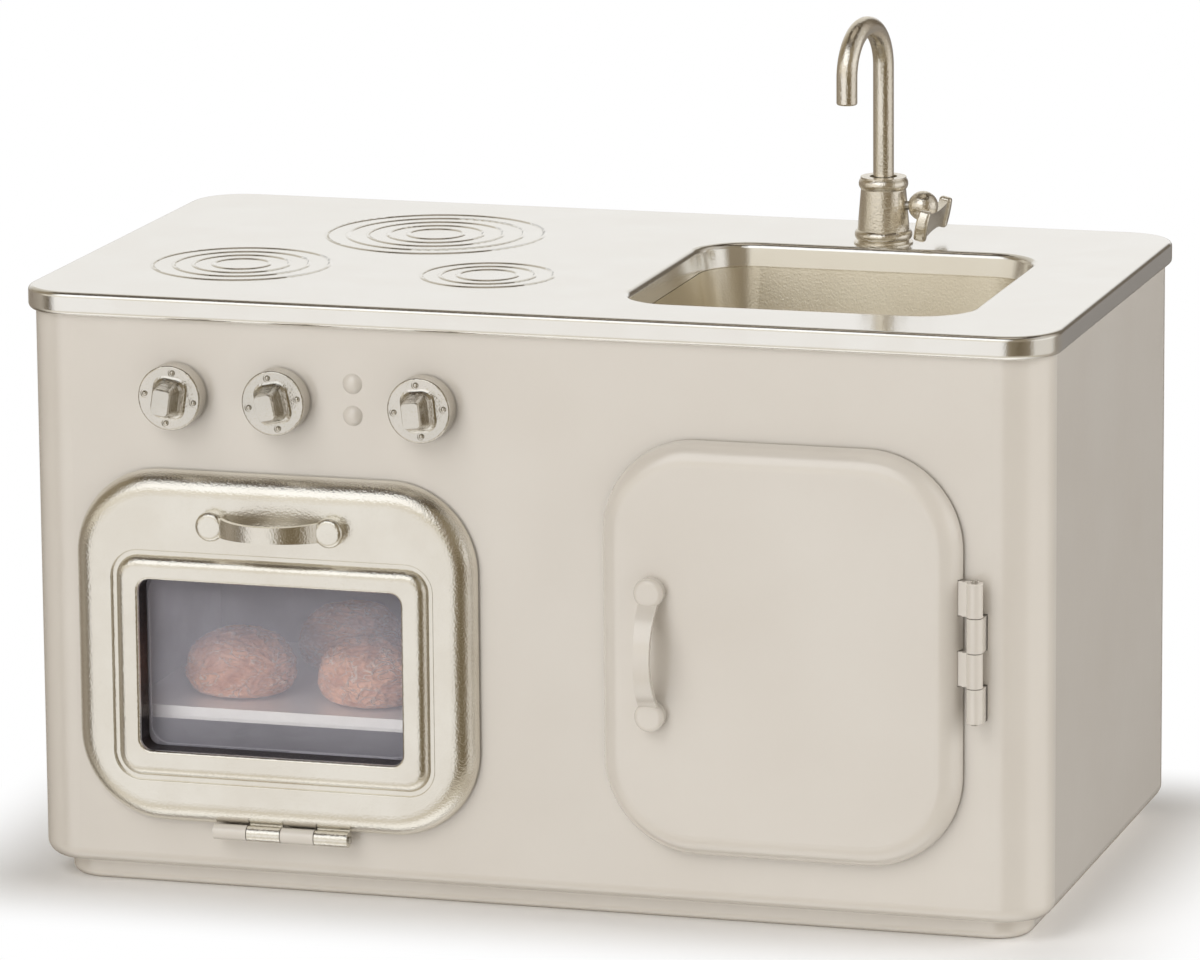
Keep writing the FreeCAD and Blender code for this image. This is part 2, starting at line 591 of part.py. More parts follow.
def make_sink_basin():
    floor = WORKTOP_HEIGHT - BASIN_DEPTH
    outer = sink_block(BASIN_SEAM + SHEET, floor - SHEET, LIP_BOTTOM, basin_lean)
    outer = outer.makeFillet(BASIN_FLOOR_ROUND + SHEET, edges_at(outer, "z", floor - SHEET))
    inner = sink_block(BASIN_SEAM, floor, LIP_BOTTOM + OVERRUN, basin_lean)
    inner = inner.makeFillet(BASIN_FLOOR_ROUND, edges_at(inner, "z", floor))
    flange = sink_block(BASIN_SEAM + SHEET + BASIN_FLANGE, LIP_BOTTOM - SHEET, LIP_BOTTOM, seam_lean)
    seam = sink_block(BASIN_SEAM + SEAM_WIDTH, LIP_BOTTOM - SEAM_DEPTH, LIP_BOTTOM + OVERRUN, seam_lean)
    boss = rod(DRAIN_RADIUS + SHEET, V(SINK_X, SINK_Y, floor - SHEET - DRAIN_DEPTH),
               V(SINK_X, SINK_Y, floor - SHEET / 2))
    dimple = rod(DRAIN_RADIUS, V(SINK_X, SINK_Y, floor - DRAIN_DEPTH),
                 V(SINK_X, SINK_Y, floor + OVERRUN))
    return outer.fuse([flange, boss]).cut([inner, seam, dimple]).removeSplitter()


# Oven box and contents

def make_oven_liner():
    centre = (OVEN_DOOR_X, OVEN_DOOR_Z)
    front = FRONT_INSIDE
    back = OVEN_BACK
    outer = plate(centre, inset(OVEN_OPENING, -SHEET), OVEN_OPENING_CORNER + SHEET,
                  front, back + SHEET)
    flange = plate(centre, inset(OVEN_OPENING, -OVEN_FLANGE), OVEN_OPENING_CORNER + OVEN_FLANGE,
                   front, front + SHEET)
    inner = plate(centre, OVEN_OPENING, OVEN_OPENING_CORNER, front - OVERRUN, back)
    ledge_top = SHELF_TOP - SHEET
    ledges = []
    for side in (-1, 1):
        wall = OVEN_DOOR_X + side * (OVEN_OPENING[0] / 2 + SHEET / 2)
        edge = OVEN_DOOR_X + side * (OVEN_OPENING[0] / 2 - SHELF_LEDGE)
        ledges.append(block(min(wall, edge), max(wall, edge), front + SHELF_SETBACK + SHEET,
                            back + SHEET / 2, ledge_top - SHEET, ledge_top))
    return outer.fuse(flange).cut(inner).fuse(ledges).removeSplitter()


def make_oven_shelf():
    half = OVEN_OPENING[0] / 2 - SHELF_SIDE_GAP
    left, right = OVEN_DOOR_X - half, OVEN_DOOR_X + half
    front = FRONT_INSIDE + SHELF_SETBACK
    back = OVEN_BACK - SHELF_SIDE_GAP
    sheet = block(left, right, front + SHELF_SLANT, back, SHELF_TOP - SHEET, SHELF_TOP)
    bend, low, inner = SHELF_TOP - SHELF_SLANT_HEIGHT, SHELF_TOP - SHELF_LIP, front + SHEET
    start = left + SHELF_LEDGE
    outline = [V(start, front + SHELF_SLANT, SHELF_TOP), V(start, front, bend), V(start, front, low),
               V(start, inner, low), V(start, inner, bend), V(start, inner + SHELF_SLANT, SHELF_TOP)]
    lip = Part.Face(Part.makePolygon(outline + outline[:1])).extrude(V(right - left - 2 * SHELF_LEDGE, 0, 0))
    centre = ((left + right) / 2, (front + back) / 2)
    rounded = slab(centre, (right - left, back - front), SHELF_CORNER, low, SHELF_TOP)
    return sheet.fuse(lip).removeSplitter().common(rounded)


def make_bread_roll(x, y):
    """A flat-bottomed bun: a round side that runs smoothly into a flatter crown."""
    def at(radius, height):
        return V(radius, 0, height)
    side = ROLL_RADIUS - ROLL_SIDE_RADIUS
    rise = ROLL_HEIGHT - ROLL_SIDE_RADIUS
    crown_centre = (rise ** 2 - side ** 2 - ROLL_SIDE_HEIGHT ** 2) / (2 * (rise - ROLL_SIDE_HEIGHT))
    crown_radius = ROLL_HEIGHT - crown_centre
    lean = math.atan2(side, ROLL_SIDE_HEIGHT - crown_centre)
    shoulder = at(crown_radius * math.sin(lean), crown_centre + crown_radius * math.cos(lean))
    middle = at(crown_radius * math.sin(lean / 2), crown_centre + crown_radius * math.cos(lean / 2))
    base = side + math.sqrt(ROLL_SIDE_RADIUS ** 2 - ROLL_SIDE_HEIGHT ** 2)
    edges = [
        Part.makeLine(at(0, 0), at(base, 0)),
        Part.Arc(at(base, 0), at(ROLL_RADIUS, ROLL_SIDE_HEIGHT), shoulder).toShape(),
        Part.Arc(shoulder, middle, at(0, ROLL_HEIGHT)).toShape(),
        Part.makeLine(at(0, ROLL_HEIGHT), at(0, 0)),
    ]
    bun = Part.Face(Part.Wire(edges)).revolve(ORIGIN, Z_AXIS, 360)
    bun.translate(V(x, y, SHELF_TOP))
    return bun


# Doors

def door_pan(centre, size, corner):
    """A pressed pan with a broad rolled edge, open at the back."""
    deep = DOOR_FACE + DOOR_ROLL + SHEET
    outer = plate(centre, size, corner, DOOR_FACE, deep)
    outer = outer.makeFillet(DOOR_ROLL, edges_at(outer, "y", DOOR_FACE))
    inner = plate(centre, inset(size, SHEET), corner - SHEET, DOOR_FACE + SHEET, deep + OVERRUN)
    inner = inner.makeFillet(DOOR_ROLL - SHEET, edges_at(inner, "y", DOOR_FACE + SHEET))
    behind = plate(centre, inset(size, -OVERRUN), corner + OVERRUN, DOOR_BACK, deep + OVERRUN)
    return outer.cut([inner, behind])


def shank_holes(x, z, along):
    """Holes for the two handle rivets."""
    holes = []
    for side in (-1, 1):
        spot = V(x, 0, z) + along * (side * HANDLE_SPACING / 2)
        holes.append(rod(HANDLE_SHANK_RADIUS, V(spot.x, DOOR_FACE - OVERRUN, spot.z),
                         V(spot.x, DOOR_FACE + SHEET + OVERRUN, spot.z)))
    return holes


def leaf_notch(x0, x1, z0, z1):
    """Room in the rolled edge for the leaf of a door hinge."""
    gap = LEAF_SLOT_GAP
    return block(x0 - gap, x1 + gap, LINER_FACE - SHEET - gap, DOOR_BACK + OVERRUN, z0 - gap, z1 + gap)


def make_oven_door_shell():
    centre = (OVEN_DOOR_X, OVEN_DOOR_Z)
    size = (OVEN_DOOR_WIDTH, OVEN_DOOR_HEIGHT)
    pan = door_pan(centre, size, OVEN_DOOR_CORNER)
    middle, window_size = (WINDOW_X, WINDOW_Z), (WINDOW_WIDTH, WINDOW_HEIGHT)
    frame_middle = (WINDOW_X + FRAME_SHIFT[0], WINDOW_Z + FRAME_SHIFT[1])
    frame_size = inset(window_size, -FRAME_WIDTH)
    top = DOOR_FACE - FRAME_PROUD
    foot = DOOR_FACE + GROOVE_DEPTH
    groove_size, groove_corner = inset(frame_size, -GROOVE_WIDTH), FRAME_CORNER + GROOVE_WIDTH
    groove = plate(frame_middle, groove_size, groove_corner, DOOR_FACE - OVERRUN, foot)
    groove_back = plate(frame_middle, inset(groove_size, -SHEET), groove_corner + SHEET,
                        DOOR_FACE + SHEET / 2, foot + SHEET)
    pan = pan.fuse(groove_back).cut(groove)
    lip = [edge for edge in edges_at(pan, "y", DOOR_FACE)
           if all(abs(v.X - frame_middle[0]) < groove_size[0] / 2 + NEAR
                  and abs(v.Z - frame_middle[1]) < groove_size[1] / 2 + NEAR
                  for v in edge.Vertexes)]
    pan = pan.makeFillet(GROOVE_ROUND, lip)
    deep = top + FRAME_ROUND + SHEET
    frame = plate(frame_middle, frame_size, FRAME_CORNER, top, deep)
    frame = frame.makeFillet(FRAME_ROUND, edges_at(frame, "y", top))
    frame = frame.cut(plate(frame_middle, inset(frame_size, -OVERRUN), FRAME_CORNER, foot + SHEET,
                            deep + OVERRUN))
    hollow = plate(frame_middle, inset(frame_size, SHEET), FRAME_CORNER - SHEET, top + SHEET,
                   deep + OVERRUN)
    hollow = hollow.makeFillet(FRAME_ROUND - SHEET, edges_at(hollow, "y", top + SHEET))
    tube = plate(middle, inset(window_size, -SHEET), WINDOW_CORNER + SHEET, top + SHEET / 2, PANE_FRONT)
    hole = plate(middle, window_size, WINDOW_CORNER, top - OVERRUN, PANE_FRONT + OVERRUN)
    shell = pan.fuse(frame).cut(hollow).fuse(tube).cut(hole)
    inside = [edge for edge in edges_at(shell, "y", top)
              if all(abs(v.X - WINDOW_X) < WINDOW_WIDTH / 2 + NEAR
                     and abs(v.Z - WINDOW_Z) < WINDOW_HEIGHT / 2 + NEAR
                     for v in edge.Vertexes)]
    shell = shell.makeFillet(WINDOW_ROUND, inside)
    cuts = shank_holes(OVEN_HANDLE_X, OVEN_HANDLE_Z, X_AXIS)
    for start, end in oven_spans(1):
        cuts.append(leaf_notch(start, end, OVEN_DOOR_BOTTOM - OVERRUN,
                               OVEN_DOOR_BOTTOM + LEAF_NOTCH_DEPTH))
    return shell.cut(cuts).removeSplitter()


def make_oven_door_liner():
    centre = (OVEN_DOOR_X, OVEN_DOOR_Z)
    lip = SHEET + DOOR_LINER_GAP
    sheet = plate(centre, inset((OVEN_DOOR_WIDTH, OVEN_DOOR_HEIGHT), lip), OVEN_DOOR_CORNER - lip,
                  LINER_FACE, DOOR_BACK)
    plug_size = inset(OVEN_OPENING, PLUG_CLEARANCE)
    plug_corner = OVEN_OPENING_CORNER - PLUG_CLEARANCE
    plug = plate(centre, plug_size, plug_corner, LINER_FACE, PLUG_BACK)
    hollow = plate(centre, inset(plug_size, SHEET), plug_corner - SHEET,
                   LINER_FACE - OVERRUN, PANE_BACK)
    hole = plate((WINDOW_X, WINDOW_Z), (WINDOW_WIDTH, WINDOW_HEIGHT), BACK_HOLE_CORNER,
                 PANE_BACK - OVERRUN, PLUG_BACK + OVERRUN)
    return sheet.fuse(plug).cut([hollow, hole]).removeSplitter()


def make_oven_window():
    size = inset((WINDOW_WIDTH, WINDOW_HEIGHT), -PANE_LAP)
    return plate((WINDOW_X, WINDOW_Z), size, WINDOW_CORNER, PANE_FRONT, PANE_BACK)


def make_cupboard_door_shell():
    centre = (CUPBOARD_DOOR_X, CUPBOARD_DOOR_Z)
    pan = door_pan(centre, (CUPBOARD_DOOR_WIDTH, CUPBOARD_DOOR_HEIGHT), CUPBOARD_DOOR_CORNER)
    edge = CUPBOARD_DOOR_X + CUPBOARD_DOOR_WIDTH / 2
    cuts = shank_holes(CUPBOARD_HANDLE_X, CUPBOARD_HANDLE_Z, Z_AXIS)
    for start, end in cupboard_spans(1):
        cuts.append(leaf_notch(edge - LEAF_NOTCH_DEPTH, edge + OVERRUN, start, end))
    return pan.cut(cuts).removeSplitter()


def make_cupboard_door_liner():
    lip = SHEET + DOOR_LINER_GAP
    size = inset((CUPBOARD_DOOR_WIDTH, CUPBOARD_DOOR_HEIGHT), lip)
    return plate((CUPBOARD_DOOR_X, CUPBOARD_DOOR_Z), size, CUPBOARD_DOOR_CORNER - lip, LINER_FACE, DOOR_BACK)


# Hinges

def oven_axis_point(x):
    return V(x, HINGE_Y, OVEN_HINGE_Z)


def cupboard_axis_point(z):
    return V(CUPBOARD_HINGE_X, HINGE_Y, z)


def with_bore(body, bore):
    """Clears the pin's way through knuckles and webs."""
    return body.cut(bore).removeSplitter()


def make_oven_hinge_fixed_leaf():
    low = OVEN_HINGE_Z - KNUCKLE_RADIUS
    spans = oven_spans(0)
    pieces = []
    for start, end in spans:
        pieces.append(rod(KNUCKLE_RADIUS, oven_axis_point(start), oven_axis_point(end)))
        pieces.append(block(start, end, HINGE_Y, FRONT_INSIDE + SHEET, low, low + SHEET))
    pieces.append(block(spans[0][0], spans[-1][1], FRONT_INSIDE, FRONT_INSIDE + SHEET,
                        low + SHEET, low + LEAF_HEIGHT))
    bore = rod(HINGE_PIN_RADIUS, oven_axis_point(spans[0][0] - OVERRUN),
               oven_axis_point(spans[-1][1] + OVERRUN))
    return with_bore(pieces[0].fuse(pieces[1:]), bore)


def make_oven_hinge_door_leaf():
    spans = oven_spans(1)
    pieces = []
    top = OVEN_DOOR_BOTTOM + LEAF_HEIGHT
    for start, end in spans:
        pieces.append(rod(KNUCKLE_RADIUS, oven_axis_point(start), oven_axis_point(end)))
        pieces.append(block(start, end, LINER_FACE - SHEET, LINER_FACE, OVEN_HINGE_Z, top))
    joint = OVEN_DOOR_BOTTOM + LEAF_JOIN_SETBACK
    pieces.append(block(spans[0][0], spans[-1][1], LINER_FACE - SHEET, LINER_FACE, joint, top))
    bore = rod(HINGE_PIN_RADIUS + HINGE_RUNNING_GAP, oven_axis_point(spans[0][0] - OVERRUN),
               oven_axis_point(spans[-1][1] + OVERRUN))
    return with_bore(pieces[0].fuse(pieces[1:]), bore)


def make_oven_hinge_pin():
    return rod(HINGE_PIN_RADIUS, oven_axis_point(OVEN_HINGE_LEFT - HINGE_PIN_STUB),
               oven_axis_point(OVEN_HINGE_LEFT + OVEN_HINGE_LENGTH + HINGE_PIN_STUB))


def make_cupboard_hinge_fixed_leaf():
    right = CUPBOARD_HINGE_X + KNUCKLE_RADIUS
    spans = cupboard_spans(0)
    pieces = []
    for start, end in spans:
        pieces.append(rod(KNUCKLE_RADIUS, cupboard_axis_point(start), cupboard_axis_point(end)))
        pieces.append(block(right - SHEET, right, HINGE_Y, FRONT_INSIDE + SHEET, start, end))
    pieces.append(block(right - LEAF_HEIGHT, right - SHEET, FRONT_INSIDE, FRONT_INSIDE + SHEET,
                        spans[0][0], spans[-1][1]))
    bore = rod(HINGE_PIN_RADIUS, cupboard_axis_point(spans[0][0] - OVERRUN),
               cupboard_axis_point(spans[-1][1] + OVERRUN))
    return with_bore(pieces[0].fuse(pieces[1:]), bore)


def make_cupboard_hinge_door_leaf():
    spans = cupboard_spans(1)
    edge = CUPBOARD_DOOR_X + CUPBOARD_DOOR_WIDTH / 2
    pieces = []
    for start, end in spans:
        pieces.append(rod(KNUCKLE_RADIUS, cupboard_axis_point(start), cupboard_axis_point(end)))
        pieces.append(block(edge + LEAF_SLOT_GAP, CUPBOARD_HINGE_X, LINER_FACE - 2 * SHEET, LINER_FACE,
                            start, end))
        pieces.append(block(edge - LEAF_HEIGHT, CUPBOARD_HINGE_X, LINER_FACE - SHEET, LINER_FACE,
                            start, end))
    joint = edge - LEAF_JOIN_SETBACK
    pieces.append(block(edge - LEAF_HEIGHT, joint, LINER_FACE - SHEET, LINER_FACE,
                        spans[0][0], spans[-1][1]))
    bore = rod(HINGE_PIN_RADIUS + HINGE_RUNNING_GAP, cupboard_axis_point(spans[0][0] - OVERRUN),
               cupboard_axis_point(spans[-1][1] + OVERRUN))
    return with_bore(pieces[0].fuse(pieces[1:]), bore)


def make_cupboard_hinge_pin():
    return rod(HINGE_PIN_RADIUS, cupboard_axis_point(CUPBOARD_HINGE_BOTTOM - HINGE_PIN_STUB),
               cupboard_axis_point(CUPBOARD_HINGE_BOTTOM + CUPBOARD_HINGE_LENGTH + HINGE_PIN_STUB))


# Handles

def place_on_door(shape, x, z, upright):
    """Moves a part made along X at the origin to its place on a door."""
    if upright:
        shape.rotate(ORIGIN, Y_AXIS, 90)
    shape.translate(V(x, DOOR_FACE, z))
    return shape


def make_handle(x, z, upright):
    """Two pads and a bowed strap that starts inside them and is narrowest in its middle."""
    half = HANDLE_SPACING / 2
    back = -HANDLE_STANDOFF
    front = back - HANDLE_DISC_THICKNESS
    middle = front - HANDLE_BOW
    reach, start = half - HANDLE_STRAP_SETBACK, front + HANDLE_STRAP_SINK
    strap = HANDLE_STRAP_THICKNESS
    bow = Part.Wire([
        Part.Arc(V(-reach, start, 0), V(0, middle, 0), V(reach, start, 0)).toShape(),
        Part.makeLine(V(reach, start, 0), V(reach, start + strap, 0)),
        Part.Arc(V(reach, start + strap, 0), V(0, middle + strap, 0), V(-reach, start + strap, 0)).toShape(),
        Part.makeLine(V(-reach, start + strap, 0), V(-reach, start, 0)),
    ])
    wide, waist, near = HANDLE_STRAP_END_WIDTH / 2, HANDLE_STRAP_WAIST / 2, middle - OVERRUN
    band = Part.Face(bow).extrude(V(0, 0, 2 * wide))
    band.translate(V(0, 0, -wide))
    outline = Part.Wire([
        Part.Arc(V(-half, near, wide), V(0, near, waist), V(half, near, wide)).toShape(),
        Part.makeLine(V(half, near, wide), V(half, near, -wide)),
        Part.Arc(V(half, near, -wide), V(0, near, -waist), V(-half, near, -wide)).toShape(),
        Part.makeLine(V(-half, near, -wide), V(-half, near, wide)),
    ])
    band = band.common(Part.Face(outline).extrude(V(0, back - near, 0)))
    discs = []
    for side in (-1, 1):
        disc = rod(HANDLE_DISC_RADIUS, V(side * half, back, 0), V(side * half, front, 0))
        discs.append(disc.makeFillet(HANDLE_DISC_ROUND, edges_at(disc, "y", front)))
    return place_on_door(band.fuse(discs).removeSplitter(), x, z, upright)


def make_handle_rivets(x, z, upright):
    rivets = []
    for side in (-1, 1):
        spot = side * HANDLE_SPACING / 2
        ring = rod(HANDLE_RING_RADIUS, V(spot, -HANDLE_STANDOFF, 0), V(spot, 0, 0))
        shank = rod(HANDLE_SHANK_RADIUS, V(spot, -HANDLE_STANDOFF / 2, 0),
                    V(spot, SHEET + HANDLE_HEAD_THICKNESS, 0))
        head = rod(HANDLE_HEAD_RADIUS, V(spot, SHEET, 0), V(spot, SHEET + HANDLE_HEAD_THICKNESS, 0))
        rivets.append(ring.fuse([shank, head]).removeSplitter())
    return place_on_door(Part.makeCompound(rivets), x, z, upright)


# Knobs

def make_knob(x, turn):
    """A disc with four seated studs and a grip that flares to its foot, turned as it stands in the photo."""
    back = -KNOB_GAP
    front = back - KNOB_THICKNESS
    disc = rod(KNOB_RADIUS, V(0, back, 0), V(0, front, 0))
    disc = disc.makeFillet(KNOB_ROUND, edges_at(disc, "y", front))
    seats, studs = [], []
    for i in range(KNOB_STUD_COUNT):
        angle = 2 * math.pi * i / KNOB_STUD_COUNT
        spot = V(KNOB_STUD_CIRCLE * math.cos(angle), front + KNOB_SEAT_DEPTH,
                 KNOB_STUD_CIRCLE * math.sin(angle))
        seats.append(rod(KNOB_SEAT_RADIUS, spot, spot - Y_AXIS * (KNOB_SEAT_DEPTH + OVERRUN)))
        studs.append(cap(KNOB_STUD_RADIUS, KNOB_STUD_HEIGHT, spot, -Y_AXIS, KNOB_STUD_HEIGHT))
    sections = [rounded_wire((0, 0), size, corner, upright_on(front - height))
                for size, corner, height in zip(GRIP_SIZES, GRIP_CORNERS, GRIP_HEIGHTS)]
    grip = Part.makeLoft(sections, True, True)
    socket = rod(SPINDLE_RADIUS, V(0, back + OVERRUN, 0), V(0, back - SPINDLE_SOCKET, 0))
    knob = disc.cut(seats).fuse(studs + [grip]).cut(socket).removeSplitter()
    knob.rotate(ORIGIN, Y_AXIS, turn)
    knob.translate(V(x, FRONT, KNOB_Z))
    return knob


def make_spindle(x):
    washer_back = SHEET + RETAINER_GAP + RETAINER_THICKNESS
    head_back = washer_back + SPINDLE_HEAD_THICKNESS
    shank = rod(SPINDLE_RADIUS, V(0, -KNOB_GAP - SPINDLE_SOCKET, 0), V(0, head_back, 0))
    head = rod(SPINDLE_HEAD_RADIUS, V(0, washer_back, 0), V(0, head_back, 0))
    spindle = shank.fuse(head).removeSplitter()
    spindle.translate(V(x, FRONT, KNOB_Z))
    return spindle


def make_retainer(x):
    front = SHEET + RETAINER_GAP
    back = front + RETAINER_THICKNESS
    washer = rod(RETAINER_RADIUS, V(0, front, 0), V(0, back, 0))
    washer = washer.cut(rod(SPINDLE_RADIUS, V(0, front - OVERRUN, 0), V(0, back + OVERRUN, 0)))
    washer.translate(V(x, FRONT, KNOB_Z))
    return washer


# Tap

def tap_point(height):
    return V(TAP_X, TAP_Y, height)


def make_tap_flange():
    ring = rod(TAP_FLANGE_RADIUS, tap_point(WORKTOP_HEIGHT), tap_point(TAP_BODY_BASE))
    ring = ring.makeFillet(TAP_FLANGE_ROUND, edges_at(ring, "z", TAP_BODY_BASE))
    hole = rod(STUD_RADIUS + STUD_HOLE_GAP, tap_point(WORKTOP_HEIGHT - OVERRUN),
               tap_point(TAP_BODY_BASE + OVERRUN))
    return ring.cut(hole)


def make_tap_body():
    """Turned body: neck, lower bead, tapered waist, upper bead and flat top."""
    def at(radius, height):
        return V(radius, 0, height)
    bead_low = TAP_NECK_HEIGHT
    bead_high = bead_low + TAP_LOWER_BEAD_HEIGHT
    top = TAP_BODY_HEIGHT
    ring_high = top - TAP_NECK_HEIGHT
    ring_low = ring_high - TAP_UPPER_BEAD_HEIGHT
    edges = [
        Part.makeLine(at(0, 0), at(TAP_NECK_RADIUS, 0)),
        Part.makeLine(at(TAP_NECK_RADIUS, 0), at(TAP_NECK_RADIUS, bead_low)),
        Part.Arc(at(TAP_NECK_RADIUS, bead_low), at(TAP_LOWER_BEAD_RADIUS, (bead_low + bead_high) / 2),
                 at(TAP_WAIST_LOW_RADIUS, bead_high)).toShape(),
        Part.makeLine(at(TAP_WAIST_LOW_RADIUS, bead_high), at(TAP_WAIST_HIGH_RADIUS, ring_low)),
        Part.Arc(at(TAP_WAIST_HIGH_RADIUS, ring_low), at(TAP_UPPER_BEAD_RADIUS, (ring_low + ring_high) / 2),
                 at(TAP_TOP_RADIUS, ring_high)).toShape(),
        Part.makeLine(at(TAP_TOP_RADIUS, ring_high), at(TAP_TOP_RADIUS, top)),
        Part.makeLine(at(TAP_TOP_RADIUS, top), at(0, top)),
        Part.makeLine(at(0, top), at(0, 0)),
    ]
    body = Part.Face(Part.Wire(edges)).revolve(ORIGIN, Z_AXIS, 360)
    body.translate(tap_point(TAP_BODY_BASE))
    mouth = rod(TAP_MOUTH_RADIUS, tap_point(TAP_TOP - TAP_MOUTH_DEPTH), tap_point(TAP_TOP + OVERRUN))
    socket = rod(SPOUT_RADIUS + SPOUT_RUNNING_GAP, tap_point(TAP_TOP - SPOUT_SOCKET), tap_point(TAP_TOP))
    stud_hole = rod(STUD_RADIUS, tap_point(TAP_BODY_BASE - OVERRUN), tap_point(TAP_BODY_BASE + STUD_SOCKET))
    stem_end = TAP_X + KEY_BALL_OFFSET - KEY_BALL_RADIUS - STEM_REACH - STEM_RUNNING_GAP
    stem_hole = rod(STEM_RADIUS + STEM_RUNNING_GAP, V(stem_end, TAP_Y, KEY_Z),
                    V(TAP_X + KEY_BALL_OFFSET, TAP_Y, KEY_Z))
    return body.cut([mouth, socket, stud_hole, stem_hole])


def make_tap_spout():
    """Gooseneck: upright pipe, half-circle bend and short drop with an open end."""
    turn = math.radians(SPOUT_TURN_ANGLE)
    reach = V(-math.sin(turn), -math.cos(turn), 0)
    foot = tap_point(TAP_TOP - SPOUT_SOCKET + SPOUT_RUNNING_GAP)
    bend_start = tap_point(WORKTOP_HEIGHT + SPOUT_RISE)
    bend_end = bend_start + reach * (2 * SPOUT_BEND_RADIUS)
    outlet = bend_end - Z_AXIS * SPOUT_DROP
    pipe = rod(SPOUT_RADIUS, foot, bend_start)
    section = Part.Face(Part.Wire(Part.makeCircle(SPOUT_RADIUS, bend_start, Z_AXIS)))
    bend = section.revolve(bend_start + reach * SPOUT_BEND_RADIUS, Z_AXIS.cross(reach), 180)
    drop = rod(SPOUT_RADIUS, bend_end, outlet)
    drop = drop.makeFillet(SPOUT_END_ROUND, edges_at(drop, "z", outlet.z))
    bore = rod(SPOUT_BORE_RADIUS, outlet - Z_AXIS * OVERRUN, outlet + Z_AXIS * SPOUT_BORE_DEPTH)
    return pipe.fuse([bend, drop]).cut(bore).removeSplitter()


def make_tap_stud():
    low = WORKTOP_HEIGHT - SHEET - NUT_THICKNESS - STUD_BELOW_NUT
    return rod(STUD_RADIUS, tap_point(low), tap_point(TAP_BODY_BASE + STUD_SOCKET))


def make_tap_nut():
    top = WORKTOP_HEIGHT - SHEET
    corner = NUT_ACROSS_FLATS / 2 / math.cos(math.pi / NUT_SIDES)
    points = []
    for i in range(NUT_SIDES + 1):
        angle = 2 * math.pi * i / NUT_SIDES
        points.append(V(TAP_X + corner * math.cos(angle), TAP_Y + corner * math.sin(angle),
                        top - NUT_THICKNESS))
    nut = Part.Face(Part.makePolygon(points)).extrude(V(0, 0, NUT_THICKNESS))
    return nut.cut(rod(STUD_RADIUS, tap_point(top - NUT_THICKNESS - OVERRUN), tap_point(top + OVERRUN)))


def make_tap_lever():
    """Ball with a bow-tie plate across its outer side and a thick rounded bead at each end."""
    ball = Part.makeSphere(KEY_BALL_RADIUS, V(TAP_X + KEY_BALL_OFFSET, TAP_Y, KEY_Z))
    middle = KEY_Z - KEY_PLATE_DROP
    half, waist, end = KEY_END_SPAN / 2, KEY_PLATE_WAIST / 2, KEY_PLATE_END_HEIGHT / 2

    def at(along, up, thickness):
        return V(TAP_X + KEY_PLATE_OFFSET - thickness / 2, TAP_Y + along, middle + up)
    thin, thick = KEY_PLATE_THICKNESS, KEY_END_THICKNESS
    wing = Part.Face(Part.Wire([
        Part.Arc(at(-half, end, thin), at(0, waist, thin), at(half, end, thin)).toShape(),
        Part.makeLine(at(half, end, thin), at(half, -end, thin)),
        Part.Arc(at(half, -end, thin), at(0, -waist, thin), at(-half, -end, thin)).toShape(),
        Part.makeLine(at(-half, -end, thin), at(-half, end, thin)),
    ])).extrude(V(thin, 0, 0))
    ends = []
    for side in (-1, 1):
        inner = side * (half - KEY_END_LENGTH / 2)
        outer = side * (half + KEY_END_LENGTH / 2)
        edge = outer - side * KEY_END_BULGE
        tall = KEY_END_HEIGHT / 2
        bead = Part.Face(Part.Wire([
            Part.makeLine(at(inner, tall, thick), at(edge, tall, thick)),
            Part.Arc(at(edge, tall, thick), at(outer, 0, thick), at(edge, -tall, thick)).toShape(),
            Part.makeLine(at(edge, -tall, thick), at(inner, -tall, thick)),
            Part.makeLine(at(inner, -tall, thick), at(inner, tall, thick)),
        ])).extrude(V(thick, 0, 0))
        ends.append(bead.makeFillet(KEY_END_ROUND, bead.Edges))
    for piece in [wing] + ends:
        piece.rotate(at(0, 0, 0), Y_AXIS, KEY_PLATE_LEAN)
    bore = rod(STEM_RADIUS, V(TAP_X, TAP_Y, KEY_Z),
               V(TAP_X + KEY_BALL_OFFSET - KEY_BALL_RADIUS + STEM_SOCKET, TAP_Y, KEY_Z))
    return ball.fuse([wing] + ends).cut(bore).removeSplitter()


def make_tap_lever_stem():
    inner = TAP_X + KEY_BALL_OFFSET - KEY_BALL_RADIUS
    return rod(STEM_RADIUS, V(inner - STEM_REACH, TAP_Y, KEY_Z), V(inner + STEM_SOCKET, TAP_Y, KEY_Z))


# Catch magnets

def make_magnet(x0, x1, z0, z1):
    bar = block(x0, x1, FRONT_INSIDE, FRONT_INSIDE + MAGNET_DEPTH, z0, z1)
    return bar.makeFillet(MAGNET_ROUND, edges_at(bar, "y", FRONT_INSIDE + MAGNET_DEPTH))


def make_oven_catch_magnet():
    low = OVEN_DOOR_Z + OVEN_OPENING[1] / 2 + OVEN_FLANGE + MAGNET_GAP
    return make_magnet(OVEN_DOOR_X - MAGNET_LENGTH / 2, OVEN_DOOR_X + MAGNET_LENGTH / 2,
                       low, low + MAGNET_HEIGHT)


def make_cupboard_catch_magnet():
    right = CUPBOARD_DOOR_X - CUPBOARD_OPENING[0] / 2 - MAGNET_GAP
    return make_magnet(right - MAGNET_HEIGHT, right, CUPBOARD_DOOR_Z - MAGNET_LENGTH / 2,
                       CUPBOARD_DOOR_Z + MAGNET_LENGTH / 2)


# All nodes

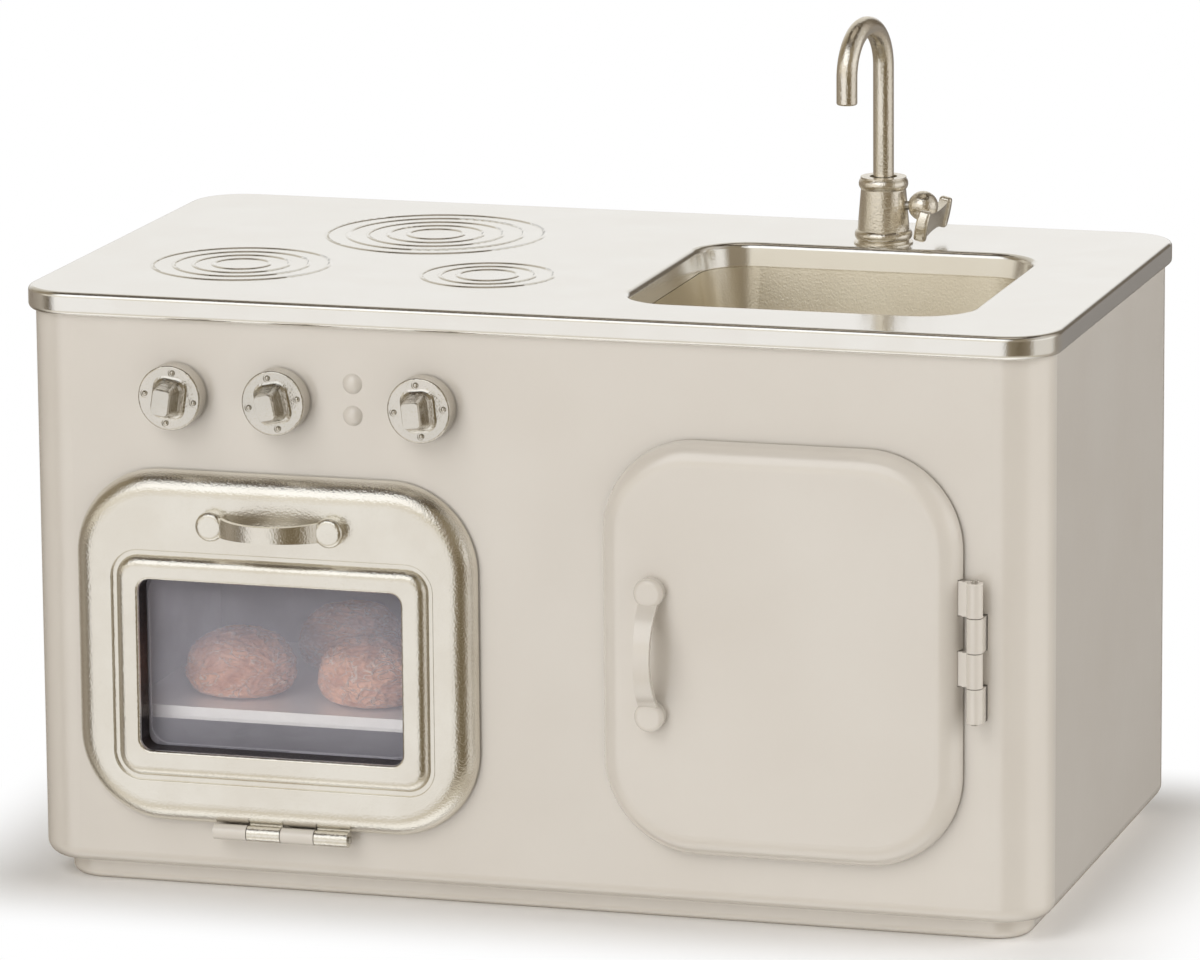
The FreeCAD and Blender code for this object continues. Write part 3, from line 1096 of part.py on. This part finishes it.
def make_all():
    nodes = {
        "cabinet_shell": make_cabinet_shell(),
        "base_pan": make_base_pan(),
        "back_panel": make_back_panel(),
        "back_panel_rivets": make_back_rivets(),
        "worktop": make_worktop(),
        "sink_basin": make_sink_basin(),
        "oven_liner": make_oven_liner(),
        "oven_shelf": make_oven_shelf(),
        "oven_catch_magnet": make_oven_catch_magnet(),
        "cupboard_catch_magnet": make_cupboard_catch_magnet(),
        "oven_door_shell": make_oven_door_shell(),
        "oven_door_liner": make_oven_door_liner(),
        "oven_window": make_oven_window(),
        "oven_handle": make_handle(OVEN_HANDLE_X, OVEN_HANDLE_Z, False),
        "oven_handle_rivets": make_handle_rivets(OVEN_HANDLE_X, OVEN_HANDLE_Z, False),
        "oven_hinge_fixed_leaf": make_oven_hinge_fixed_leaf(),
        "oven_hinge_door_leaf": make_oven_hinge_door_leaf(),
        "oven_hinge_pin": make_oven_hinge_pin(),
        "cupboard_door_shell": make_cupboard_door_shell(),
        "cupboard_door_liner": make_cupboard_door_liner(),
        "cupboard_handle": make_handle(CUPBOARD_HANDLE_X, CUPBOARD_HANDLE_Z, True),
        "cupboard_handle_rivets": make_handle_rivets(CUPBOARD_HANDLE_X, CUPBOARD_HANDLE_Z, True),
        "cupboard_hinge_fixed_leaf": make_cupboard_hinge_fixed_leaf(),
        "cupboard_hinge_door_leaf": make_cupboard_hinge_door_leaf(),
        "cupboard_hinge_pin": make_cupboard_hinge_pin(),
        "tap_flange": make_tap_flange(),
        "tap_body": make_tap_body(),
        "tap_spout": make_tap_spout(),
        "tap_stud": make_tap_stud(),
        "tap_nut": make_tap_nut(),
        "tap_lever": make_tap_lever(),
        "tap_lever_stem": make_tap_lever_stem(),
    }
    for name, (x, y) in ROLL_PLACES.items():
        nodes[name] = make_bread_roll(x, y)
    for side, (side_distance, turn) in KNOBS.items():
        x = side_distance - BODY_WIDTH / 2
        nodes["knob_" + side] = make_knob(x, turn)
        nodes["knob_" + side + "_spindle"] = make_spindle(x)
        nodes["knob_" + side + "_retainer"] = make_retainer(x)
    return nodes


os.makedirs("parts", exist_ok=True)
for node, solid in make_all().items():
    solid.exportStep("parts/" + node + ".step")
    print(node, "solids", len(solid.Solids), "valid", solid.isValid(), "volume", round(solid.Volume, 2))
print("oven hinge axis y z", round(HINGE_Y, 5), round(OVEN_HINGE_Z, 5))
print("cupboard hinge axis x y", round(CUPBOARD_HINGE_X, 5), round(HINGE_Y, 5))
print("tap key axis z", round(KEY_Z, 5))
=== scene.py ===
import json
import math
import bmesh
import bpy
from mathutils import Matrix, Vector, noise


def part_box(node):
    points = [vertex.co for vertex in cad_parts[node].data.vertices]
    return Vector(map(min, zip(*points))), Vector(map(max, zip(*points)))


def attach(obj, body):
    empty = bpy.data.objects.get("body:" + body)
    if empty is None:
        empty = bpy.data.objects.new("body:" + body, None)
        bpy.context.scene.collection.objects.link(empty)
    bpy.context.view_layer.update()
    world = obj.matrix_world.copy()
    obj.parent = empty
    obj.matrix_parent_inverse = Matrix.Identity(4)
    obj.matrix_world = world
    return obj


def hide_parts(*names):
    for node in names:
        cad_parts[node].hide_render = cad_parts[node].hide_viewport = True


# Miniature tin kitchen: finishes, bread rolls, studio and camera.
# Metres and degrees, in the model's own frame: azimuth 0 is in front of the doors, 90 is the sink's side.

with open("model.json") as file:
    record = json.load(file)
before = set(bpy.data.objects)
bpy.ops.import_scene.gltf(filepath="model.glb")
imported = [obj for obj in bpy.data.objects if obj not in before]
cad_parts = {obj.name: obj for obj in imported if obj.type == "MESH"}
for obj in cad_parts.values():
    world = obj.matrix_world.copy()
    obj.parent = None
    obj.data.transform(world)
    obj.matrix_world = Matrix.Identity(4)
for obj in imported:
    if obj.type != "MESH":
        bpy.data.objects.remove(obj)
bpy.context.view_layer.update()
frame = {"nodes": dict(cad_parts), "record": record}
nodes = frame["nodes"]

MM = 0.001

# Camera at the photograph's viewing angle
PHOTO_WIDTH = 1200
FOCAL_PIXELS = 7765.985
SENSOR_WIDTH = 36.0
CAMERA_AZIMUTH = 16.636
CAMERA_ELEVATION = 12.002
CAMERA_ROLL = -0.474
CAMERA_RIGHT = -1.839 * MM
CAMERA_UP = 58.099 * MM
CAMERA_DISTANCE = 1243.067 * MM

# Sizes of the patterns in the finishes
ENAMEL_CLOUD = 30 * MM
ENAMEL_PEEL = 2.5 * MM
ENAMEL_PEEL_DEPTH = 0.012 * MM
LACQUER_CLOUD = 9 * MM
FLAKE = 0.35 * MM
DRAWING_MARK = 0.5 * MM
GREY_CLOUD = 6 * MM
PANE_RUB = 7 * MM
GLAZE_PATCH = 5 * MM
CREASES = (5.0 * MM, 3.1 * MM)
CREASE_DEPTH = 0.2 * MM
FERRITE_GRAIN = 0.4 * MM

# Painted shade on the cut edge round the oven door's window, from a little behind the front of the door
REVEAL_SHADE_START = 0.7 * MM
REVEAL_SHADE_TONE = "#3F3029"

# Bread rolls: how finely they are made, and their shape as shares of their own height and width
ROLL_STEPS = 220
ROLL_RINGS = 120
BELLY = 0.36
DOME_POWER = 0.8
FOOT_POWER = 0.5
FOOT_CURVE = 0.8
TWO_LOBES = 0.025
THREE_LOBES = 0.015

# Folds of the rolls' crust
CRUST_INSET = 0.5 * MM
FOLD_DEPTH = 0.5 * MM
FOLD_SPACING = 3.4 * MM
FOLD_FLATNESS = 1.8
FOLD_SHARPNESS = 3.6
FINE_FOLDS = 2.3
FINE_SHIFT = Vector((3.1, 1.7, 9.2))
SWIRL_SPACING = 0.6
SWIRL = 0.8
SWIRL_SEED = 1
SEED_SHIFT = (7.1, 3.3, 5.7)
CALM_FOOT = 1 / 6

# Paper floor: its shade ends in plain white this far from the body's footprint
FLOOR_SIZE = 12.0
FLOOR_TONE = "#FAF9F8"
HALF_FOOTPRINT = (78 * MM, 42 * MM, 1.0)
SHADE_NEAR = 1 * MM
SHADE_FAR = 30 * MM

# Room: how strongly it lights metal, and the share of that which paint gets
ROOM_STRENGTH = 1.3
ROOM_SHARE_ON_PAINT = 0.5

# What the room shows at each height, from the floor up, as stops of azimuth and tone
NEAR_RING = ((-180, "#B4B0AA"), (-110, "#7A7268"), (-60, "#F0EEEA"), (60, "#F0EEEA"), (110, "#B4B0AA"),
             (180, "#B4B0AA"))
SHADE_RING = ((-180, "#7E766C"), (-110, "#4E4538"), (-60, "#CFC8BC"), (60, "#B0A898"), (110, "#A39A8D"),
              (180, "#7E766C"))
FLOOR_RING = ((-180, "#70685C"), (-150, "#8E867A"), (-120, "#7A7064"), (-78, "#938B7F"), (-58, "#4A3D28"),
              (-42, "#DFDDDB"), (2, "#DFDDDB"), (14, "#736751"), (37, "#55482F"), (58, "#6E624E"),
              (72, "#C4BFB8"), (114, "#C4BFB8"), (130, "#7E766B"), (163, "#7E7A76"), (180, "#726D68"))
WALL_RING = ((-180, "#E2E1E0"), (-150, "#D8D6D2"), (-120, "#857B6B"), (-84, "#857B6B"), (-66, "#D0C9BB"),
             (4, "#D0C9BB"), (18, "#7C705C"), (56, "#7C705C"), (72, "#DAD7D2"), (118, "#DAD7D2"),
             (132, "#958D82"), (150, "#574E42"), (170, "#574E42"), (180, "#E2E1E0"))
UPPER_RING = ((-180, "#C8C4BC"), (-130, "#B0AA9E"), (-100, "#7E735F"), (-60, "#736751"), (-38, "#FFFFFF"),
              (6, "#FFFFFF"), (26, "#736751"), (60, "#7E735F"), (90, "#B0ACA6"), (130, "#A8A196"),
              (150, "#5E5548"), (170, "#5E5548"), (180, "#C8C4BC"))
CEILING_RING = ((-180, "#2C1E0A"), (180, "#2C1E0A"))
ZENITH_RING = ((-180, "#A89F90"), (180, "#A89F90"))

# The elevations between which each ring takes over from the one below it
RINGS_ABOVE = ((SHADE_RING, -62, -46), (FLOOR_RING, -36, -20), (WALL_RING, -4, 4), (UPPER_RING, 15, 21),
               (CEILING_RING, 49, 58), (ZENITH_RING, 68, 78))

# Lamps: all are this far from one point in the body
LAMP_DISTANCE = 1.3
LAMP_AIM = Vector((0, 0, 50 * MM))

# A Mix node's sockets for two tones and their result
MIX_FIRST = 6
MIX_SECOND = 7
MIX_RESULT = 2


def linear(tone):
    """Turns an sRGB hex value to a linear colour."""
    channels = [int(tone[i:i + 2], 16) / 255 for i in (1, 3, 5)]
    return [c / 12.92 if c <= 0.04045 else ((c + 0.055) / 1.055) ** 2.4 for c in channels] + [1.0]


def add(tree, kind, inputs=None, stops=None, **settings):
    """Adds a node. Inputs are values, or sockets to link; stops are a colour ramp's places and tones."""
    node = tree.nodes.new(kind)
    for name, value in settings.items():
        setattr(node, name, value)
    for name, value in (inputs or {}).items():
        if isinstance(value, bpy.types.NodeSocket):
            tree.links.new(value, node.inputs[name])
        else:
            node.inputs[name].default_value = value
    if stops:
        elements = node.color_ramp.elements
        elements.remove(elements[1])
        elements[0].position = stops[0][0]
        elements[0].color = linear(stops[0][1])
        for position, tone in stops[1:]:
            elements.new(position).color = linear(tone)
    return node


# Finishes

def new_material(name):
    """An empty material, its node tree and the coordinates of the piece that wears it."""
    material = bpy.data.materials.new(name)
    material.use_nodes = True
    tree = material.node_tree
    tree.nodes.clear()
    return material, tree, add(tree, "ShaderNodeTexCoord").outputs["Object"]


def surface(tree, settings):
    """Ends a material in one surface with these settings, as add() takes them."""
    shader = add(tree, "ShaderNodeBsdfPrincipled", settings)
    add(tree, "ShaderNodeOutputMaterial", {"Surface": shader.outputs["BSDF"]})


def mottled(tree, place, size, detail, stops):
    """A tone that drifts between two shades in patches of this size."""
    cloud = add(tree, "ShaderNodeTexNoise", {"Vector": place, "Scale": 1 / size, "Detail": detail})
    return add(tree, "ShaderNodeValToRGB", {"Fac": cloud.outputs["Fac"]}, stops).outputs["Color"]


def grained(tree, place, size, depth):
    """The relief of a fine grain of this size and depth."""
    grain = add(tree, "ShaderNodeTexNoise", {"Vector": place, "Scale": 1 / size, "Detail": 1.0})
    return add(tree, "ShaderNodeBump", {"Height": grain.outputs["Fac"], "Distance": depth}).outputs["Normal"]


def baked_enamel():
    """Semi-gloss cream enamel baked on tin plate: soft highlights, a thin clear gloss, faint orange peel."""
    material, tree, place = new_material("baked_cream_enamel")
    surface(tree, {
        "Base Color": mottled(tree, place, ENAMEL_CLOUD, 2.0, ((0.3, "#D2CBC1"), (0.7, "#D7D1C8"))),
        "Normal": grained(tree, place, ENAMEL_PEEL, ENAMEL_PEEL_DEPTH),
        "Roughness": 0.25,
        "IOR": 1.55,
        "Coat Weight": 1.0,
        "Coat IOR": 1.6,
        "Coat Roughness": 0.03,
    })
    return material


def inside(tree, place, low, high):
    """1 in a box of the frame and 0 outside it."""
    moved = add(tree, "ShaderNodeMapping", {"Vector": place, "Location": (low + high) / -2})
    apart = add(tree, "ShaderNodeVectorMath", {0: moved.outputs["Vector"]}, operation="ABSOLUTE")
    apart = add(tree, "ShaderNodeVectorMath", {0: apart.outputs[0], 1: (high - low) / 2},
                operation="SUBTRACT")
    sides = add(tree, "ShaderNodeSeparateXYZ", {"Vector": apart.outputs[0]})
    far = add(tree, "ShaderNodeMath", {0: sides.outputs["X"], 1: sides.outputs["Y"]}, operation="MAXIMUM")
    far = add(tree, "ShaderNodeMath", {0: far.outputs[0], 1: sides.outputs["Z"]}, operation="MAXIMUM")
    return add(tree, "ShaderNodeMath", {0: far.outputs[0], 1: 0.0}, operation="LESS_THAN").outputs[0]


def metallic_lacquer(name, dark, light, metal, roughness, flake_depth, coat=0.0, reveal_shade_box=None):
    """Lacquer full of fine metal flake: a satin sheen that breaks up into pepper where it is dark."""
    material, tree, place = new_material(name)
    tone = mottled(tree, place, LACQUER_CLOUD, 3.0, ((0.35, dark), (0.65, light)))
    if reveal_shade_box:
        # painted shade: the cut edge round the window lies in shade, so it is painted dark in this box of
        # the frame
        tone = add(tree, "ShaderNodeMix", {"Factor": inside(tree, place, *reveal_shade_box), MIX_FIRST: tone,
                                           MIX_SECOND: linear(REVEAL_SHADE_TONE)},
                   data_type="RGBA").outputs[MIX_RESULT]
    surface(tree, {
        "Base Color": tone,
        # real flake is finer than a pixel, so it is drawn as coarse as it needs to show
        "Normal": grained(tree, place, FLAKE, flake_depth),
        "Metallic": metal,
        "Roughness": roughness,
        "Coat Weight": coat,
        "Coat Roughness": 0.08,
    })
    return material


def drawn_steel(name, dark, light, roughness, metal):
    """Bare drawn steel or tin plate: a dull shine with streaky light and dark marks."""
    material, tree, place = new_material(name)
    surface(tree, {
        # real drawing marks are finer than a pixel, so they are drawn as coarse as they need to show
        "Base Color": mottled(tree, place, DRAWING_MARK, 3.0, ((0.3, dark), (0.7, light))),
        "Metallic": metal,
        "Roughness": roughness,
    })
    return material


def grey_enamel():
    """Matt grey enamel inside the oven: flat, a little uneven, with no highlights on it."""
    material, tree, place = new_material("matt_grey_enamel")
    surface(tree, {
        "Base Color": mottled(tree, place, GREY_CLOUD, 3.0, ((0.3, "#B9B6C0"), (0.7, "#C6C3CD"))),
        "Roughness": 0.6,
    })
    return material


def smoky_pane():
    """Clear plastic sheet with a faint smoke tint: it veils the oven, and rubbed patches veil it more."""
    material, tree, place = new_material("smoky_plastic_pane")
    rubs = add(tree, "ShaderNodeTexNoise", {"Vector": place, "Scale": 1 / PANE_RUB, "Detail": 5.0,
                                            "Roughness": 0.7})
    haze = add(tree, "ShaderNodeMapRange", {"Value": rubs.outputs["Fac"], "From Min": 0.35, "From Max": 0.7,
                                            "To Min": 0.15, "To Max": 0.20})
    surface(tree, {
        "Base Color": linear("#E0DEEA"),
        "Alpha": haze.outputs["Result"],
        "Roughness": 0.08,
        "IOR": 1.49,
    })
    return material


def bread_crust():
    """Painted resin buns: orange-brown glaze under a crinkled skin whose thin creases carry a painted
    highlight.
    """
    material, tree, place = new_material("painted_bread_crust")
    flat = add(tree, "ShaderNodeMapping", {"Vector": place, "Scale": (1.0, 1.0, 1.9)}).outputs["Vector"]
    patch = add(tree, "ShaderNodeTexNoise", {"Vector": flat, "Scale": 1 / GLAZE_PATCH, "Detail": 3.0})
    glaze = add(tree, "ShaderNodeValToRGB", {"Fac": patch.outputs["Fac"]},
                stops=((0.3, "#BE7850"), (0.65, "#F7B994")))
    # creases run where a wandering field passes its middle value
    lines = []
    for size in CREASES:
        field = add(tree, "ShaderNodeTexNoise", {"Vector": flat, "Scale": 1 / size, "Detail": 2.5,
                                                 "Distortion": 0.7})
        off = add(tree, "ShaderNodeMath", {0: field.outputs["Fac"], 1: 0.5}, operation="SUBTRACT")
        off = add(tree, "ShaderNodeMath", {0: off.outputs[0]}, operation="ABSOLUTE")
        line = add(tree, "ShaderNodeMapRange", {"Value": off.outputs[0], "From Min": 0.0, "From Max": 0.019,
                                                "To Min": 1.0, "To Max": 0.0})
        lines.append(line.outputs["Result"])
    crease_and_highlight = add(tree, "ShaderNodeMath", {0: lines[0], 1: lines[1]}, operation="MAXIMUM")
    # the creases and their painted highlight break off in the darker patches of the glaze
    broken = add(tree, "ShaderNodeMapRange", {"Value": patch.outputs["Fac"], "From Min": 0.38,
                                              "From Max": 0.52})
    crease_and_highlight = add(tree, "ShaderNodeMath", {0: crease_and_highlight.outputs[0], 1: broken.outputs["Result"]},
                 operation="MULTIPLY").outputs[0]
    # painted highlight: the creases are mixed towards a pale tone, and the same lines raise the relief
    tone = add(tree, "ShaderNodeMix", {"Factor": crease_and_highlight, MIX_FIRST: glaze.outputs["Color"],
                                       MIX_SECOND: linear("#FFEBDA")}, data_type="RGBA")
    relief = add(tree, "ShaderNodeBump", {"Height": crease_and_highlight, "Distance": CREASE_DEPTH})
    surface(tree, {
        "Base Color": tone.outputs[MIX_RESULT],
        "Normal": relief.outputs["Normal"],
        "Roughness": 0.35,
    })
    return material


def dark_ferrite():
    """Bare pressed ferrite: nearly black, dull and fine grained."""
    material, tree, place = new_material("dark_ferrite_magnet")
    surface(tree, {
        # real grit is finer than a pixel, so it is drawn as coarse as it needs to show
        "Base Color": mottled(tree, place, FERRITE_GRAIN, 2.0, ((0.3, "#262627"), (0.7, "#3A3A3B"))),
        "Roughness": 0.5,
    })
    return material


def window_sides():
    """The sides of the oven door's window, from a little behind its front back to the pane, where shade is
    painted.
    """
    pane_low, pane_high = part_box("oven_window")
    door_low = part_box("oven_door_shell")[0]
    low = Vector((pane_low.x, door_low.y + REVEAL_SHADE_START, pane_low.z))
    return low, Vector((pane_high.x, pane_high.y, pane_high.z))


# Oven door: satin and creamy in the light, dark and peppery on its rolled edge
door_look = ("#E8E4DB", "#EDEAE2", 1.0, 0.26, 0.045 * MM)
champagne = metallic_lacquer("satin_champagne_lacquer", *door_look)
# the door's lacquer also carries painted shade on the cut edge of its window
door_champagne = metallic_lacquer("satin_champagne_door_lacquer", *door_look, reveal_shade_box=window_sides())
# Tap: a little more silvery than the door, with the same peppery flake
nickel = metallic_lacquer("satin_nickel_lacquer", "#F0EBE0", "#F6F1E7", 1.0, 0.25, 0.05 * MM)
# Knobs: the coolest and darkest of the three, grainy grey round the grip
silver = metallic_lacquer("satin_silver_lacquer", "#D6D3CC", "#DFDBD4", 1.0, 0.22, 0.06 * MM)
# Worktop: smooth and glossy enough to mirror the wall behind it as one nearly white sheet
worktop = metallic_lacquer("gloss_champagne_lacquer", "#ECEAE5", "#EFEEEA", 0.95, 0.15, 0.012 * MM, coat=0.3)
# Basin: the same lacquer left duller, warm grey where its walls turn away from the light
basin = metallic_lacquer("sink_champagne_lacquer", "#EEE8DA", "#F4EFE2", 1.0, 0.28, 0.022 * MM)

finishes = {
    "cream_enamel": baked_enamel(),
    "worktop_lacquer": worktop,
    "sink_lacquer": basin,
    "champagne_lacquer": champagne,
    "plain_steel": drawn_steel("drawn_steel", "#B5B1AA", "#D5D2CC", 0.35, 1.0),
    # the shelf's tin plate scatters more light than it mirrors, so it reads pale through the pane
    "shelf_steel": drawn_steel("bright_tin_plate", "#F2F1EE", "#FAF9F6", 0.35, 0.4),
    "oven_grey": grey_enamel(),
    "smoky_pane": smoky_pane(),
    "bread_crust": bread_crust(),
    "dark_ferrite": dark_ferrite(),
}
# Pieces whose lacquer differs from the one that their slot names
special = {node: nickel for node in ("tap_flange", "tap_body", "tap_spout", "tap_lever")}
special.update({node: silver for node in ("knob_left", "knob_middle", "knob_right")})
special["oven_door_shell"] = door_champagne


def dress():
    """Gives each node the finish of its slot in the record, or its own special one."""
    for entry in frame["record"]["subparts"]:
        node = entry["node"]
        finish = special.get(node, finishes[entry["material_slot"]])
        for slot in nodes[node].material_slots:
            slot.material = finish


# Bread rolls

def folds(spot, seed):
    """Wrinkles of the crust: sharp ridges that wander over the bun, from 0 to 1."""
    shifted = spot / FOLD_SPACING + Vector([seed * shift for shift in SEED_SHIFT])
    swirl = noise.noise_vector(shifted * SWIRL_SPACING) * SWIRL
    coarse = Vector((shifted.x, shifted.y, shifted.z * FOLD_FLATNESS)) + swirl
    fine = coarse * FINE_FOLDS + FINE_SHIFT
    return sum(max(0.0, 1 - abs(noise.noise(field)) * FOLD_SHARPNESS) for field in (coarse, fine)) / 2


def crust_spot(lean, angle, half, tall, seed, turn):
    """A point of the crust from the middle of the bun's foot; lean goes from 0 there to pi at the top."""
    up = -math.cos(lean)
    across = math.sin(lean) ** (DOME_POWER if up > 0 else FOOT_POWER)
    level = BELLY + (1 - BELLY) * up if up > 0 else BELLY * (1 - abs(up) ** FOOT_CURVE)
    uneven = 1 + TWO_LOBES * math.cos(2 * angle + turn) + THREE_LOBES * math.cos(3 * angle + seed)
    east, north = math.cos(angle) * across, math.sin(angle) * across
    spot = Vector((east * half * uneven, north * half * uneven, level * tall))
    outward = Vector((east / half, north / half, max(up, 0) / tall)).normalized()
    inset = CRUST_INSET + FOLD_DEPTH * (1 - folds(spot, seed))
    return spot - outward * inset * min(1.0, level / CALM_FOOT)


def make_roll(node, seed, turn):
    """A round bun with a wrinkled crust, in the place of its plain solid."""
    low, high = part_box(node)
    foot = Vector(((low.x + high.x) / 2, (low.y + high.y) / 2, low.z))
    half = (high.x - low.x) / 2
    tall = high.z - low.z
    shape = bmesh.new()
    rings = []
    for i in range(1, ROLL_RINGS):
        lean = math.pi * i / ROLL_RINGS
        angles = [2 * math.pi * j / ROLL_STEPS for j in range(ROLL_STEPS)]
        rings.append([shape.verts.new(foot + crust_spot(lean, angle, half, tall, seed, turn))
                      for angle in angles])
    for lower, upper in zip(rings, rings[1:]):
        for j in range(ROLL_STEPS):
            k = (j + 1) % ROLL_STEPS
            shape.faces.new((lower[j], lower[k], upper[k], upper[j]))
    caps = [shape.faces.new(list(reversed(rings[0]))), shape.faces.new(rings[-1])]
    bmesh.ops.triangulate(shape, faces=caps)
    bmesh.ops.recalc_face_normals(shape, faces=shape.faces)
    for face in shape.faces:
        face.smooth = True
    mesh = bpy.data.meshes.new(node + "_crust")
    shape.to_mesh(mesh)
    shape.free()
    piece = bpy.data.objects.new(node + "_crust", mesh)
    bpy.context.scene.collection.objects.link(piece)
    mesh.materials.append(finishes["bread_crust"])
    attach(piece, "cabinet")
    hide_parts(node)


dress()
# without a seed the swirl's noise starts from the clock, so each run would fold the crust anew
noise.seed_set(SWIRL_SEED)
make_roll("bread_roll_left", 1, 0.4)
make_roll("bread_roll_right", 2, 1.9)
make_roll("bread_roll_back", 3, 3.0)


# Studio: pale floor, room, lamps and camera

def make_floor():
    """Matt paper that keeps the shade next to the object and shows plain white farther out."""
    mesh = bpy.data.meshes.new("floor")
    half = FLOOR_SIZE / 2
    mesh.from_pydata([(-half, -half, 0), (half, -half, 0), (half, half, 0), (-half, half, 0)], [],
                     [(0, 1, 2, 3)])
    floor = bpy.data.objects.new("floor", mesh)
    bpy.context.scene.collection.objects.link(floor)
    material, tree, place = new_material("pale_paper")
    paper = add(tree, "ShaderNodeBsdfPrincipled", {"Base Color": linear(FLOOR_TONE), "Roughness": 0.9})
    white = add(tree, "ShaderNodeEmission", {"Color": linear("#FFFFFF"), "Strength": 1.0})
    # only what is looked at turns white; light that falls on the object still comes off the paper
    ray = add(tree, "ShaderNodeLightPath")
    seen = add(tree, "ShaderNodeMath", {0: ray.outputs["Is Camera Ray"], 1: ray.outputs["Is Glossy Ray"]},
               operation="MAXIMUM")
    seen = add(tree, "ShaderNodeMath", {0: seen.outputs[0], 1: ray.outputs["Is Transmission Ray"]},
               operation="MAXIMUM")
    past = add(tree, "ShaderNodeVectorMath", {0: place}, operation="ABSOLUTE")
    past = add(tree, "ShaderNodeVectorMath", {0: past.outputs[0], 1: HALF_FOOTPRINT}, operation="SUBTRACT")
    past = add(tree, "ShaderNodeVectorMath", {0: past.outputs[0], 1: (0, 0, 0)}, operation="MAXIMUM")
    away = add(tree, "ShaderNodeVectorMath", {0: past.outputs[0]}, operation="LENGTH")
    fade = add(tree, "ShaderNodeMapRange", {"Value": away.outputs["Value"], "From Min": SHADE_NEAR,
                                            "From Max": SHADE_FAR}, interpolation_type="SMOOTHSTEP")
    share = add(tree, "ShaderNodeMath", {0: seen.outputs[0], 1: fade.outputs["Result"]},
                operation="MULTIPLY")
    mix = add(tree, "ShaderNodeMixShader", {"Fac": share.outputs[0], 1: paper.outputs["BSDF"],
                                            2: white.outputs["Emission"]})
    add(tree, "ShaderNodeOutputMaterial", {"Surface": mix.outputs["Shader"]})
    mesh.materials.append(material)
    floor.visible_glossy = False


def make_room():
    """What the studio shows to the metal: pale walls with darker gaps between, under a dark ceiling."""
    world = bpy.data.worlds.new("studio_room")
    bpy.context.scene.world = world
    world.use_nodes = True
    tree = world.node_tree
    tree.nodes.clear()
    view = add(tree, "ShaderNodeTexCoord").outputs["Generated"]
    axes = add(tree, "ShaderNodeSeparateXYZ", {"Vector": view})
    ahead = add(tree, "ShaderNodeMath", {0: axes.outputs["Y"], 1: -1.0}, operation="MULTIPLY")
    azimuth = add(tree, "ShaderNodeMath", {0: axes.outputs["X"], 1: ahead.outputs[0]}, operation="ARCTAN2")
    turn = add(tree, "ShaderNodeMapRange", {"Value": azimuth.outputs[0], "From Min": -math.pi,
                                            "From Max": math.pi})

    def around(ring):
        """The tones of a ring, spread round the room."""
        stops = [((angle + 180) / 360, tone) for angle, tone in ring]
        return add(tree, "ShaderNodeValToRGB", {"Fac": turn.outputs["Result"]}, stops).outputs["Color"]

    tone = around(NEAR_RING)
    for ring, start, end in RINGS_ABOVE:
        rise = add(tree, "ShaderNodeMapRange", {"Value": axes.outputs["Z"],
                                                "From Min": math.sin(math.radians(start)),
                                                "From Max": math.sin(math.radians(end))})
        tone = add(tree, "ShaderNodeMix", {"Factor": rise.outputs["Result"], MIX_FIRST: tone,
                                           MIX_SECOND: around(ring)}, data_type="RGBA").outputs[MIX_RESULT]
    # the room gives matt paint less light than it shows to the metal, so that the lamps model the shapes
    matt = add(tree, "ShaderNodeLightPath").outputs["Is Diffuse Ray"]
    strength = add(tree, "ShaderNodeMapRange", {"Value": matt, "To Min": ROOM_STRENGTH,
                                                "To Max": ROOM_STRENGTH * ROOM_SHARE_ON_PAINT})
    light = add(tree, "ShaderNodeBackground", {"Color": tone, "Strength": strength.outputs["Result"]})
    add(tree, "ShaderNodeOutputWorld", {"Surface": light.outputs["Background"]})


def towards(azimuth, elevation):
    """The direction from the object to a place in the studio."""
    turn, rise = math.radians(azimuth), math.radians(elevation)
    return Vector((math.sin(turn) * math.cos(rise), -math.cos(turn) * math.cos(rise), math.sin(rise)))


def make_lamp(name, azimuth, elevation, size, watts):
    """A soft box that faces the object; the metal sees its shine in the room's bright parts instead."""
    back = towards(azimuth, elevation)
    lamp = bpy.data.lights.new(name, "AREA")
    lamp.shape = "RECTANGLE"
    lamp.size, lamp.size_y = size
    lamp.energy = watts
    holder = bpy.data.objects.new(name, lamp)
    holder.visible_glossy = False
    bpy.context.scene.collection.objects.link(holder)
    holder.location = LAMP_AIM + back * LAMP_DISTANCE
    holder.rotation_mode = "QUATERNION"
    holder.rotation_quaternion = (-back).to_track_quat("-Z", "Y")


def make_camera():
    """The photograph's camera, which looks along -back and is rolled a little."""
    back = towards(CAMERA_AZIMUTH, CAMERA_ELEVATION)
    level = towards(CAMERA_AZIMUTH + 90, 0)
    upright = back.cross(level)
    roll = math.radians(CAMERA_ROLL)
    right = level * math.cos(roll) + upright * math.sin(roll)
    up = upright * math.cos(roll) - level * math.sin(roll)
    camera = bpy.data.objects.new("camera", bpy.data.cameras.new("camera"))
    bpy.context.scene.collection.objects.link(camera)
    camera.data.sensor_width = SENSOR_WIDTH
    camera.data.lens = FOCAL_PIXELS / PHOTO_WIDTH * SENSOR_WIDTH
    camera.matrix_world = Matrix((right, up, back)).transposed().to_4x4()
    camera.location = right * CAMERA_RIGHT + up * CAMERA_UP + back * CAMERA_DISTANCE
    bpy.context.scene.camera = camera


make_floor()
make_room()
make_lamp("key_soft_box", -24, 42, (0.8, 0.9), 6.3)
make_lamp("front_soft_box", -16, 2, (0.9, 0.5), 5.2)
make_lamp("side_soft_box", 94, 25, (1.0, 1.0), 10.6)
make_camera()
bpy.context.scene.view_settings.view_transform = "Standard"
